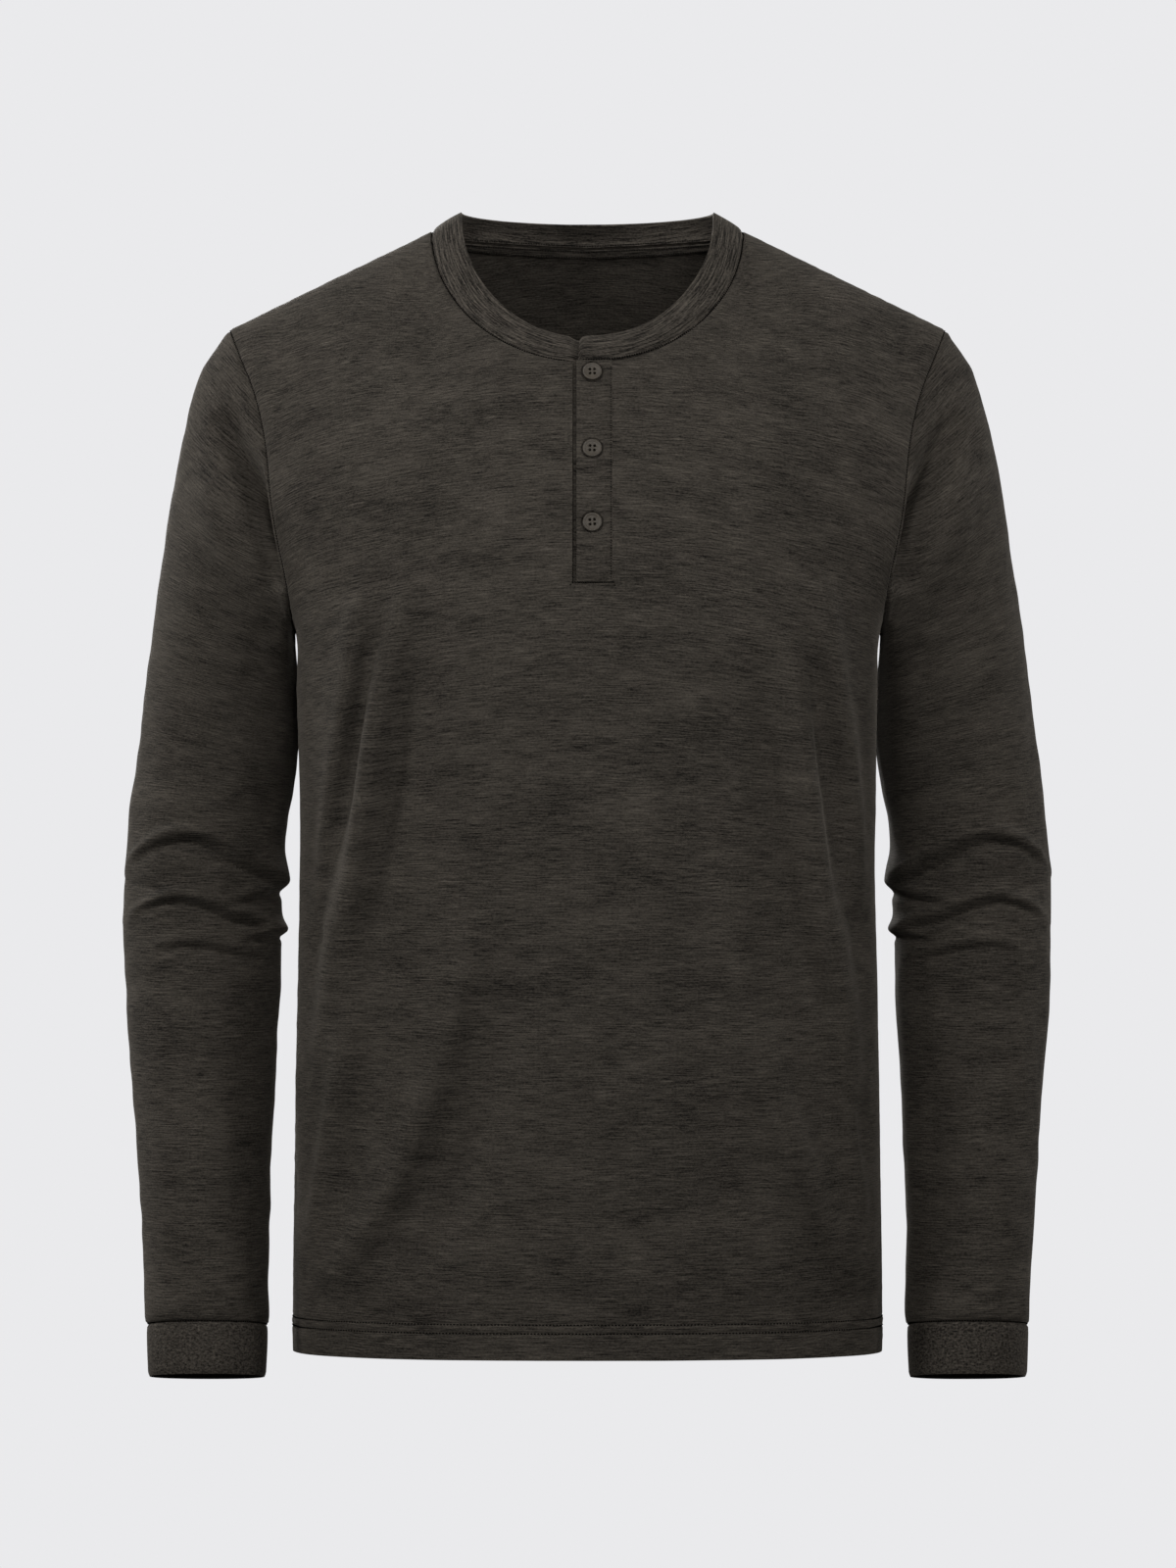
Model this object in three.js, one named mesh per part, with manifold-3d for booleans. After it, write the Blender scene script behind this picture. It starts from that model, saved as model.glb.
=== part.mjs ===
// A long-sleeved henley shirt that keeps the open, hollow form it has when it is worn.
// Millimetres. +Z is up, the front faces -Y, and +X is the right of a viewer in front.
// The origin is on the centre line, level with the top of the neckband at the shoulders.
import * as THREE from 'three';
import { mergeVertices } from 'three/addons/utils/BufferGeometryUtils.js';
import Module from 'manifold-3d';

// Sizes that the whole shirt follows
const neckHalfWidth = 98;
const neckPointZ = -11.3;
const frontNeckDrop = 87;
const backNeckDrop = 3.5;
const shoulderX = 225;
const shoulderZ = -73.4;
const armpitX = 183;
const armpitZ = -262;
const hemZ = -713;
const hemRise = 3.5;
const shoulderRoll = 145;
const jersey = 1.2;
const seamGap = 0.3;

// Roundness of the shoulder seen from the side, by the neck and by the armhole
const rollRound = { neck: 1.8, armhole: 2.2 };

// The body at each level: half width, depth in front of and behind the side seams, and how
// square its corners are, where 2 is an ellipse.
// Above the armpit the half width runs on past the armhole, where the sleeve takes over.
const bodyLevels = [
  { z: 0, half: 268, front: 50, back: 86, square: 2.4 },
  { z: -50, half: 257, front: 66, back: 98, square: 2.4 },
  { z: -77, half: 249, front: 75, back: 103, square: 2.4 },
  { z: -110, half: 236, front: 88, back: 107, square: 2.4 },
  { z: -150, half: 224, front: 104, back: 111, square: 2.4 },
  { z: -193, half: 214, front: 117, back: 112, square: 2.45 },
  { z: -235, half: 197, front: 123, back: 111, square: 2.75 },
  { z: -262, half: 183, front: 125, back: 110, square: 3.2 },
  { z: -300, half: 181.4, front: 125, back: 108, square: 3 },
  { z: -400, half: 179.9, front: 122, back: 104, square: 2.65 },
  { z: -500, half: 182, front: 119, back: 106, square: 2.5 },
  { z: -600, half: 183.6, front: 118, back: 110, square: 2.4 },
  { z: -690, half: 184.8, front: 119, back: 113, square: 2.4 },
  { z: -720, half: 184, front: 119, back: 113, square: 2.4 },
];
const columnRound = 2.4;

// The armhole seam: its distance from the centre line at each level
const armholeLevels = [
  { z: -73.4, x: 225 },
  { z: -94, x: 216.5 },
  { z: -112, x: 209 },
  { z: -130, x: 203.8 },
  { z: -150, x: 200 },
  { z: -190, x: 195.5 },
  { z: -229, x: 188 },
  { z: -247, x: 184.8 },
  { z: -262, x: 183 },
];

// Drape folds of the body, each a long soft ridge or trough down its face.
// x and z are its top, middle and lower end, raise its height and spread its half width.
const bodyFolds = [
  { face: 'front', top: [-137, -232], mid: [-152, -300], end: [-163, -378], raise: 3.2, spread: 9 },
  { face: 'front', top: [-116, -262], mid: [-140, -395], end: [-166, -560], raise: 6.0, spread: 12 },
  { face: 'front', top: [-132, -280], mid: [-156, -400], end: [-176, -520], raise: -4.0, spread: 9 },
  { face: 'front', top: [-92, -435], mid: [-118, -570], end: [-164, -650], raise: 4.5, spread: 19 },
  { face: 'front', top: [-70, -330], mid: [-100, -470], end: [-122, -600], raise: -2.6, spread: 17 },
  { face: 'front', top: [143, -232], mid: [155, -310], end: [163, -378], raise: 3.0, spread: 9 },
  { face: 'front', top: [128, -280], mid: [146, -420], end: [168, -560], raise: 5.0, spread: 13 },
  { face: 'front', top: [142, -300], mid: [158, -420], end: [177, -530], raise: -3.4, spread: 9 },
  { face: 'front', top: [84, -415], mid: [108, -545], end: [166, -665], raise: 4.2, spread: 20 },
  { face: 'front', top: [66, -330], mid: [88, -470], end: [112, -600], raise: -2.4, spread: 17 },
  { face: 'back', top: [-112, -300], mid: [-132, -420], end: [-158, -580], raise: 5.0, spread: 16 },
  { face: 'back', top: [-84, -300], mid: [-98, -430], end: [-120, -590], raise: -3.0, spread: 16 },
  { face: 'back', top: [116, -280], mid: [134, -400], end: [156, -560], raise: 4.6, spread: 16 },
  { face: 'back', top: [86, -320], mid: [102, -450], end: [122, -600], raise: -3.0, spread: 17 },
  { face: 'back', top: [-20, -420], mid: [-26, -540], end: [-40, -660], raise: 2.8, spread: 22 },
];

// Sleeve sections from the armhole to the cuff. outer and inner are the two ends of a
// section in the front view, depth its half depth, y its middle, and tilt how far its back
// drops in degrees. steps is how many rings lead on to the next section.
const sleeveSections = [
  { outer: [225, -73.4], inner: [183, -262], depth: 58, y: 0, tilt: 0, steps: 1 },
  { outer: [236.8, -90.5], inner: [184.3, -265.5], depth: 60, y: 3, tilt: 0, steps: 1 },
  { outer: [243.8, -103], inner: [184.2, -270.5], depth: 61.5, y: 6.5, tilt: 0, steps: 1 },
  { outer: [253.7, -136], inner: [183.4, -281], depth: 63, y: 12, tilt: 0, steps: 1 },
  { outer: [262.2, -180], inner: [182.6, -296], depth: 63, y: 20, tilt: 0, steps: 1 },
  { outer: [270.4, -232], inner: [182.2, -314], depth: 62, y: 26, tilt: 0, steps: 2 },
  { outer: [278.3, -290], inner: [182.4, -334], depth: 60, y: 28, tilt: 0, steps: 2 },
  { outer: [285.6, -348], inner: [186.3, -362], depth: 58, y: 28, tilt: 0, steps: 2 },
  { outer: [290.5, -392], inner: [190.7, -392], depth: 57, y: 27, tilt: 0, steps: 7 },
  { outer: [292.6, -438], inner: [193, -438], depth: 56, y: 24, tilt: 2, steps: 6 },
  { outer: [291.4, -480], inner: [193.6, -480], depth: 54, y: 18, tilt: 5, steps: 2 },
  { outer: [287.2, -535], inner: [196.2, -535], depth: 50, y: 8, tilt: 7, steps: 2 },
  { outer: [280.7, -608], inner: [198.6, -608], depth: 45, y: -8, tilt: 9, steps: 2 },
  { outer: [276.6, -664], inner: [199, -664], depth: 40, y: -21, tilt: 9, steps: 1 },
  { outer: [275.8, -690], inner: [198.5, -690], depth: 38.6, y: -26, tilt: 8, steps: 1 },
];
const cuffSections = [
  { outer: [273.9, -695], inner: [200, -695], depth: 36.4, y: -27, tilt: 8, steps: 1 },
  { outer: [274.6, -700], inner: [199.5, -700], depth: 36.8, y: -28, tilt: 8, steps: 2 },
  { outer: [273.4, -727], inner: [200, -727], depth: 36, y: -32, tilt: 8, steps: 0 },
];
const sleeveRound = 2.15;
const cuffThickness = 1.8;
const capBlend = 5;

// Folds that stack at the elbow. z runs from the outer side to the inner side over the
// front or the back of the sleeve; about and reach give its middle and half length in degrees
// round the sleeve from the outer side, positive over the front.
const elbowFolds = [
  { outer: -392, mid: -382, inner: -404, about: 70, reach: 95, raise: 2.8, spread: 8 },
  { outer: -401, mid: -391, inner: -417, about: 85, reach: 100, raise: -4.2, spread: 5 },
  { outer: -407, mid: -406, inner: -420, about: 60, reach: 120, raise: 3.0, spread: 6 },
  { outer: -430, mid: -428, inner: -442, about: 85, reach: 95, raise: -4.2, spread: 5 },
  { outer: -444, mid: -441, inner: -449, about: 110, reach: 95, raise: 2.8, spread: 6 },
  { outer: -457, mid: -456, inner: -462, about: 100, reach: 85, raise: -2.6, spread: 5 },
  { outer: -405, mid: -398, inner: -412, about: -95, reach: 85, raise: 3.2, spread: 9 },
  { outer: -420, mid: -416, inner: -430, about: -100, reach: 85, raise: -3.2, spread: 6 },
  { outer: -440, mid: -434, inner: -446, about: -90, reach: 80, raise: 2.6, spread: 8 },
];

// Neckband: the folded top edge, and how its free end laps over the other at the placket
const bandTopHalfWidth = 79;
const bandTopFront = { y: -72, z: -82.6 };
const bandTopBack = { y: 51, z: -2.4 };
const bandTopSide = 0.8;
const bandTopSag = 1.6;
const bandTopEase = 0.8;
const bandThickness = 1.6;
const bandCrown = 0.9;
const bandRows = 3;
const bandLift = new THREE.Vector3(0, -0.89, 0.46);
const bandLapShares = [0.02, 0.5];
const bandUnderShares = [0.5, 0.88];

// Placket
const placketLeft = -9;
const placketRight = 15;
const placketBottom = -235;
const placketThickness = 1.4;
const placketFreeShare = 0.025;

// Back neck tape
const tapeStart = 2;
const tapeWidth = 6.5;
const tapeThickness = 1;
const tapeGap = 0.8;
const tapeEndGap = 1;

// Buttons
const buttonRadius = 5.8;
const buttonLevels = [-105, -153, -198.6];
const buttonX = 2.9;
const buttonHoleRadius = 0.75;
const buttonHoleOffset = 1.3;
const buttonSides = 20;

// Rows and columns of the panels
const armholeRows = 11;
const placketRows = 9;
const lowerRows = 15;
const neckShare = 0.5;
const shoulderShares = [0.5, 0.58, 0.66, 0.74, 0.82, 0.9, 0.96, 1];
const frontNeckShares = [0.11, 0.19, 0.27, 0.35, 0.43];
const backNeckShares = [0.125, 0.25, 0.375];

const { PI, abs, sin, cos, sign, sqrt, min, max, exp } = Math;
const range = (count) => Array.from({ length: count }, (_, index) => index);
const mix = (a, b, share) => a + (b - a) * share;
const clamp = (value, low, high) => min(high, max(low, value));
const degrees = (angle) => angle * PI / 180;

function ease(value, low, high) {
  const share = clamp((value - low) / (high - low), 0, 1);
  return share * share * (3 - 2 * share);
}

// A smooth curve through the rows of a table, in the order of its rows
function curveThrough(rows, along, read) {
  const at = rows.map(along);
  const value = rows.map(read);
  const last = rows.length - 1;
  const slope = range(rows.length).map((k) => {
    const before = max(0, k - 1);
    const after = min(last, k + 1);
    return (value[after] - value[before]) / (at[after] - at[before]);
  });
  const rising = at[last] > at[0];
  return (where) => {
    let k = 0;
    while (k < last - 1 && (rising ? where > at[k + 1] : where < at[k + 1])) k += 1;
    const span = at[k + 1] - at[k];
    const t = clamp((where - at[k]) / span, 0, 1);
    const t2 = t * t;
    const t3 = t2 * t;
    return (2 * t3 - 3 * t2 + 1) * value[k] + (t3 - 2 * t2 + t) * span * slope[k]
      + (3 * t2 - 2 * t3) * value[k + 1] + (t3 - t2) * span * slope[k + 1];
  };
}

const halfWidthAt = curveThrough(bodyLevels, (row) => row.z, (row) => row.half);
const depthAt = {
  front: curveThrough(bodyLevels, (row) => row.z, (row) => row.front),
  back: curveThrough(bodyLevels, (row) => row.z, (row) => row.back),
};
const squareAt = curveThrough(bodyLevels, (row) => row.z, (row) => row.square);
const armholeAt = curveThrough(armholeLevels, (row) => row.z, (row) => row.x);

// The body's surface: how far a point of the front or back stands from the side seams
function bodyDepth(face, x, z) {
  const square = squareAt(z);
  const across = clamp(1 - (abs(x) / halfWidthAt(z)) ** square, 0, 1) ** (1 / square);
  const slope = (neckPointZ - shoulderZ) / (shoulderX - neckHalfWidth);
  const ridge = neckPointZ - (abs(x) - neckHalfWidth) * slope;
  const below = clamp((ridge - z) / shoulderRoll, 0, 1);
  const outward = clamp((abs(x) - neckHalfWidth) / (shoulderX - neckHalfWidth), 0, 1);
  const round = mix(rollRound.neck, rollRound.armhole, outward);
  const roll = (1 - (1 - below) ** round) ** (1 / round);
  return depthAt[face](z) * across * roll;
}

function foldHeight(face, x, z) {
  let height = 0;
  for (const fold of bodyFolds.filter((row) => row.face === face)) {
    const [[topX, topZ], [midX, midZ], [endX, endZ]] = [fold.top, fold.mid, fold.end];
    const t = (topZ - z) / (topZ - endZ);
    const bend = (topZ - midZ) / (topZ - endZ);
    const bow = (midX - mix(topX, endX, bend)) / (bend * (1 - bend));
    const lineX = mix(topX, endX, t) + bow * t * (1 - t);
    const along = ease(t, -0.12, 0.3) * (1 - ease(t, 0.6, 1.1));
    height += fold.raise * along * exp(-(((x - lineX) / fold.spread) ** 2));
  }
  return height;
}

// Share of the half width that a column of the panel has across the chest
const chestShare = (reach) => sin(reach * PI / 2) ** (2 / columnRound);

// The column that stands at a given distance from the centre line across the chest
const columnAt = (x) => sign(x) * Math.asin((abs(x) / armpitX) ** (columnRound / 2)) / (PI / 2);

function neckX(reach) {
  const rounded = neckHalfWidth * sin(PI * reach / (2 * neckShare));
  return mix(armpitX * chestShare(reach), rounded, ease(reach, 0.03, 0.3));
}

// The panel's top edge: the neckline, then the shoulder seam out to the armhole
function topEdge(face, reach) {
  if (reach <= neckShare) {
    const x = neckX(reach);
    const drop = face === 'front' ? frontNeckDrop : backNeckDrop;
    return { x, z: neckPointZ - drop * sqrt(max(0, 1 - (x / neckHalfWidth) ** 2)) };
  }
  const out = (reach - neckShare) / (1 - neckShare);
  return { x: mix(neckHalfWidth, shoulderX, out), z: mix(neckPointZ, shoulderZ, out) };
}

// How far down from the top edge to the armpit level a column is at a row
function fallAt(face, reach, row) {
  const round = (1 - cos(PI * row / armholeRows)) / 2;
  const centreTop = topEdge('front', 0).z;
  const placketShare = (centreTop - placketBottom) / (centreTop - armpitZ);
  const stepped = row <= placketRows
    ? placketShare * row / placketRows
    : mix(placketShare, 1, (row - placketRows) / (armholeRows - placketRows));
  return mix(stepped, round, ease(reach, 0.15, neckShare));
}

function panelPoint(face, u, row) {
  const reach = abs(u);
  const side = sign(u);
  const turn = reach * PI / 2;
  let x;
  let z;
  if (row <= armholeRows) {
    const top = topEdge(face, reach);
    const fall = fallAt(face, reach, row);
    z = mix(top.z, armpitZ, fall);
    x = mix(top.x, armpitX * chestShare(reach), fall);
    x += reach ** 4 * (armholeAt(z) - mix(shoulderX, armpitX, fall));
  } else {
    const bottom = hemZ + hemRise * (1 - reach * reach);
    z = mix(armpitZ, bottom, (row - armholeRows) / lowerRows);
    x = halfWidthAt(z) * chestShare(reach);
  }
  let y = bodyDepth(face, x, z);
  const fold = foldHeight(face, side * x, z) * (1 - ease(reach, 0.9, 1)) * ease(row, 1, 4);
  x += fold * sin(turn);
  y += fold * cos(turn);
  return new THREE.Vector3(side * x, face === 'front' ? -y : y, z);
}

// A sheet is one cut piece of cloth before it gets its thickness. Rows run down and columns
// run to the right, seen from outside.
function makeSheet(name, points, thickness, options = {}) {
  const { closed = false, keep = () => true } = options;
  const rows = points.length;
  const columns = points[0].length;
  const at = points.flat();
  const quads = [];
  for (let row = 0; row < rows - 1; row += 1) {
    for (let column = 0; column < (closed ? columns : columns - 1); column += 1) {
      if (!keep(row, column)) continue;
      const next = (column + 1) % columns;
      quads.push([row * columns + column, row * columns + next,
        (row + 1) * columns + next, (row + 1) * columns + column]);
    }
  }
  const facing = at.map(() => new THREE.Vector3());
  for (const quad of quads) {
    const [a, b, c, d] = quad.map((index) => at[index]);
    const square = c.clone().sub(a).cross(b.clone().sub(d));
    quad.forEach((index) => facing[index].add(square));
  }
  facing.forEach((vector) => vector.normalize());
  return { name, at, facing, quads, columns, thickness, stretch: at.map(() => 1) };
}

// Where pieces meet at a seam, their walls share one mitred direction
function mitreSeams(sheets) {
  const meeting = new Map();
  for (const sheet of sheets) {
    const used = new Set(sheet.quads.flat());
    used.forEach((index) => {
      const key = sheet.at[index].toArray().map((value) => Math.round(value * 20)).join(' ');
      if (!meeting.has(key)) meeting.set(key, []);
      meeting.get(key).push({ sheet, index, own: sheet.facing[index].clone() });
    });
  }
  for (const corners of meeting.values()) {
    if (corners.length < 2) continue;
    const add = (list) => list.reduce((sum, corner) => sum.add(corner.own), new THREE.Vector3());
    const shared = add(corners).normalize();
    const turnedOver = corners.filter((corner) => corner.own.dot(shared) < 0);
    if (turnedOver.length > 0) {
      // At the armpit the front and back count as one piece, so that the sleeve isn't outvoted
      const others = corners.filter((corner) => !turnedOver.includes(corner));
      shared.copy(add(turnedOver).normalize().add(add(others).normalize())).normalize();
    }
    const lean = corners.reduce((sum, corner) => sum + corner.own.dot(shared), 0) / corners.length;
    for (const { sheet, index } of corners) {
      sheet.facing[index].copy(shared);
      sheet.stretch[index] = 1 / max(0.5, lean);
    }
  }
}

// Edges that only one quad uses, in the direction that it uses them
function rimEdges(quads) {
  const uses = new Map();
  for (const [a, b, c, d] of quads) {
    for (const [from, to, across] of [[a, d, b], [d, c, a], [c, b, d], [b, a, c]]) {
      const key = `${min(from, to)} ${max(from, to)}`;
      if (uses.has(key)) uses.delete(key);
      else uses.set(key, { from, to, across });
    }
  }
  return [...uses.values()];
}

// Which end of a seam stretch comes first, so that both of its pieces fold their rims alike
function comesFirst(a, b) {
  for (const axis of ['z', 'y', 'x']) {
    if (abs(a[axis] - b[axis]) > 0.01) return a[axis] < b[axis];
  }
  return true;
}

// The wall of a sheet, drawn back by half the seam gap all round its rim
function wallGeometry(sheet) {
  const { at, facing, quads, thickness, stretch } = sheet;
  const edges = rimEdges(quads);
  const pulls = at.map(() => []);
  for (const { from, to, across } of edges) {
    const along = at[to].clone().sub(at[from]).normalize();
    for (const index of [from, to]) {
      const inward = along.clone().cross(facing[index]).normalize();
      if (inward.dot(at[across].clone().sub(at[from])) < 0) inward.negate();
      pulls[index].push(inward);
    }
  }
  const outer = at.map((point, index) => {
    const moved = point.clone();
    if (pulls[index].length === 0) return moved;
    const [first, second = first] = pulls[index];
    const push = (seamGap / 2) / max(0.4, 1 + first.dot(second));
    return moved.addScaledVector(first, push).addScaledVector(second, push);
  });
  const inner = outer.map((point, index) => point.clone()
    .addScaledVector(facing[index], -thickness * stretch[index]));
  const shift = at.length;
  const triangles = [];
  for (const [a, b, c, d] of quads) {
    triangles.push(a, d, c, a, c, b);
    triangles.push(a + shift, c + shift, d + shift, a + shift, b + shift, c + shift);
  }
  for (const { from, to } of edges) {
    if (comesFirst(at[from], at[to])) {
      triangles.push(to, from, from + shift, to, from + shift, to + shift);
    } else {
      triangles.push(to, from, to + shift, from, from + shift, to + shift);
    }
  }
  const geometry = new THREE.BufferGeometry();
  const places = [...outer, ...inner].flatMap((point) => point.toArray());
  geometry.setAttribute('position', new THREE.Float32BufferAttribute(places, 3));
  geometry.setIndex(triangles);
  const used = geometry.toNonIndexed();
  used.computeVertexNormals();
  return used;
}

// Body panels
const frontColumns = [
  ...[...frontNeckShares, ...shoulderShares].reverse().map((reach) => -reach),
  columnAt(placketLeft), columnAt(placketRight),
  ...frontNeckShares, ...shoulderShares];
const notchColumn = frontNeckShares.length + shoulderShares.length;
const backColumns = [
  ...[...backNeckShares, ...shoulderShares].reverse(), 0,
  ...[...backNeckShares, ...shoulderShares].map((reach) => -reach)];
const panelRows = range(armholeRows + lowerRows + 1);
const frontPoints = panelRows.map((row) => frontColumns.map((u) => panelPoint('front', u, row)));
const backPoints = panelRows.map((row) => backColumns.map((u) => panelPoint('back', u, row)));
const frontSheet = makeSheet('front_panel', frontPoints, jersey,
  { keep: (row, column) => row >= placketRows || column !== notchColumn });
const backSheet = makeSheet('back_panel', backPoints, jersey);

// Placket: the under strip fills the notch between the two edges of the front
const notchPoint = (row, share) => frontPoints[row][notchColumn].clone()
  .lerp(frontPoints[row][notchColumn + 1], share);
const underSheet = makeSheet('placket_under',
  range(placketRows + 1).map((row) => [0, 0.5, 1].map((share) => notchPoint(row, share))), jersey);

// Neckband, from its free end over the placket, round the neck, to the end under the placket
function bandTop(face, x) {
  const share = clamp(x / neckHalfWidth, -1, 1);
  const towards = sqrt(max(0, 1 - share * share));
  const edge = face === 'front' ? bandTopFront : bandTopBack;
  const sag = face === 'front' ? towards : towards ** bandTopSag;
  return new THREE.Vector3(bandTopHalfWidth * share, edge.y * towards ** bandTopEase,
    mix(bandTopSide, edge.z, sag));
}

function bandPath() {
  const neckline = (points, columns, low, high, face) => range(columns.length)
    .filter((k) => columns[k] >= low - 1e-9 && columns[k] <= high + 1e-9)
    .map((k) => ({ face, foot: points[0][k] }));
  const lapped = (share) => ({ face: 'front', foot: notchPoint(0, share) });
  const path = [
    ...bandLapShares.map(lapped),
    ...neckline(frontPoints, frontColumns, columnAt(placketRight), neckShare, 'front'),
    ...neckline(backPoints, backColumns, -neckShare, neckShare, 'back').slice(1),
    ...neckline(frontPoints, frontColumns, -neckShare, columnAt(placketLeft), 'front').slice(1),
    ...bandUnderShares.map(lapped)];
  return path.map(({ face, foot }, place) => {
    const lap = place < path.length / 2 && face === 'front'
      ? 1 - ease(foot.x, placketRight + 2, placketRight + 44) : 0;
    const lift = bandLift.clone().multiplyScalar(lap * (seamGap + bandThickness));
    return { foot: foot.clone().add(lift), top: bandTop(face, foot.x).add(lift) };
  });
}

function bandSheet() {
  const path = bandPath();
  const points = range(bandRows + 1).map((row) => path.map(({ foot, top }) => {
    const share = row / bandRows;
    const point = top.clone().lerp(foot, share);
    const out = new THREE.Vector3(foot.x, foot.y, 0).normalize();
    out.z = 0.5;
    return point.addScaledVector(out.normalize(), bandCrown * sin(PI * share));
  }));
  return makeSheet('neckband', points, bandThickness);
}

// Sleeves
const curvesOf = (sections) => {
  const along = (row) => sections.indexOf(row);
  const curve = (read) => curveThrough(sections, along, read);
  return {
    outerX: curve((row) => row.outer[0]),
    outerZ: curve((row) => row.outer[1]),
    innerX: curve((row) => row.inner[0]),
    innerZ: curve((row) => row.inner[1]),
    depth: curve((row) => row.depth),
    y: curve((row) => row.y),
    tilt: curve((row) => row.tilt),
  };
};
const ringStops = (sections) => sections.flatMap((row, k) => range(row.steps)
  .map((step) => k + step / row.steps));
const ringPlaces = 2 * armholeRows;
const ringAngles = range(ringPlaces).map((place) => 2 * PI * place / ringPlaces);

function ringPoint(curves, stop, angle) {
  const outer = new THREE.Vector3(curves.outerX(stop), 0, curves.outerZ(stop));
  const inner = new THREE.Vector3(curves.innerX(stop), 0, curves.innerZ(stop));
  const round = (value) => sign(value) * abs(value) ** (2 / sleeveRound);
  const middle = outer.clone().add(inner).multiplyScalar(0.5);
  const reach = outer.sub(inner).multiplyScalar(0.5 * round(cos(angle)));
  const tilt = degrees(curves.tilt(stop));
  const back = -curves.depth(stop) * round(sin(angle));
  return middle.add(reach).add(new THREE.Vector3(0, curves.y(stop) + back * cos(tilt),
    -back * sin(tilt)));
}

function elbowHeight(angle, z) {
  const turned = angle > PI ? angle - 2 * PI : angle;
  let height = 0;
  for (const fold of elbowFolds) {
    const across = cos(turned);
    const line = fold.mid + (fold.outer - fold.inner) / 2 * across
      + ((fold.outer + fold.inner) / 2 - fold.mid) * across * across;
    const away = abs(turned - degrees(fold.about)) / degrees(fold.reach);
    const window = 1 - ease(away, 0.45, 1);
    height += fold.raise * window * exp(-(((z - line) / fold.spread) ** 2));
  }
  return height;
}

// The armhole seam on the body, at the rows of the panels, as the first ring of the sleeve
function armholePoint(place) {
  const front = place <= armholeRows;
  const row = front ? place : ringPlaces - place;
  return panelPoint(front ? 'front' : 'back', 1, row);
}

function sleeveRings(sections, drape) {
  const curves = curvesOf(sections);
  const stops = [...ringStops(sections.slice(0, -1)), sections.length - 1];
  return stops.map((stop) => {
    const middle = ringAngles.map((angle) => ringPoint(curves, stop, angle))
      .reduce((sum, point) => sum.add(point), new THREE.Vector3()).divideScalar(ringPlaces);
    return ringAngles.map((angle, place) => {
      const point = ringPoint(curves, stop, angle);
      const out = point.clone().sub(middle).normalize();
      if (drape) {
        const pull = armholePoint(place).sub(ringPoint(curves, 0, angle));
        point.addScaledVector(pull, 1 - ease(stop, 0, capBlend));
        point.addScaledVector(out, elbowHeight(angle, point.z));
      }
      return point;
    });
  });
}

// The +X rings are listed outer, front, inner, back. Seen from outside they run left, so the
// +X sleeve turns the order round and the -X sleeve mirrors the points.
const turned = (rings) => rings.map((ring) => [ring[0], ...ring.slice(1).reverse()]);
const mirrored = (rings) => rings.map((ring) => ring
  .map((point) => new THREE.Vector3(-point.x, point.y, point.z)));
const sleeve = sleeveRings([...sleeveSections, cuffSections[0]], true);
const cuff = sleeveRings(cuffSections, false);
const tube = { closed: true };
const sheets = [
  frontSheet,
  backSheet,
  makeSheet('sleeve_left', mirrored(sleeve), jersey, tube),
  makeSheet('sleeve_right', turned(sleeve), jersey, tube),
  makeSheet('cuff_left', mirrored(cuff), cuffThickness, tube),
  makeSheet('cuff_right', turned(cuff), cuffThickness, tube),
  bandSheet(),
  underSheet,
];
mitreSeams(sheets);

// The upper placket lies on the under one, made from its points, moved out
function upperPlacket() {
  const lift = seamGap + placketThickness;
  const rows = range(placketRows + 1).map((row) => [0, 1, 2].map((column) => {
    const index = row * underSheet.columns + column;
    return underSheet.at[index].clone().addScaledVector(underSheet.facing[index], lift);
  }));
  rows.forEach((row) => row[0].lerp(row[2], placketFreeShare));
  return makeSheet('placket_upper', rows, placketThickness);
}
const upperSheet = upperPlacket();

// The neck tape lies inside the back, made from its points, moved in
function neckTape() {
  const columns = backColumns.map((u, k) => k).filter((k) => abs(backColumns[k]) <= neckShare);
  const down = (column, distance) => {
    let row = 0;
    let left = distance;
    const pointAt = (r) => backSheet.at[r * backSheet.columns + column];
    while (pointAt(row).distanceTo(pointAt(row + 1)) < left) {
      left -= pointAt(row).distanceTo(pointAt(row + 1));
      row += 1;
    }
    const share = left / pointAt(row).distanceTo(pointAt(row + 1));
    const gap = tapeGap + tapeEndGap * (abs(backColumns[column]) / neckShare) ** 2;
    const depthAt = (r) => {
      const index = r * backSheet.columns + column;
      return backSheet.facing[index].clone()
        .multiplyScalar(-jersey * backSheet.stretch[index] - gap);
    };
    return pointAt(row).clone().lerp(pointAt(row + 1), share)
      .add(depthAt(row).lerp(depthAt(row + 1), share));
  };
  const rows = [tapeStart, tapeStart + tapeWidth / 2, tapeStart + tapeWidth]
    .map((distance) => columns.map((column) => down(column, distance)));
  return makeSheet('neck_tape', rows, tapeThickness);
}
const tapeSheet = neckTape();

// Buttons
const wasm = await Module();
wasm.setup();

function toSolid(geometry) {
  geometry.deleteAttribute('normal');
  geometry.deleteAttribute('uv');
  const merged = mergeVertices(geometry, 1e-4);
  return new wasm.Manifold(new wasm.Mesh({
    numProp: 3,
    vertProperties: new Float32Array(merged.attributes.position.array),
    triVerts: new Uint32Array(merged.index.array),
  }));
}

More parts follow.
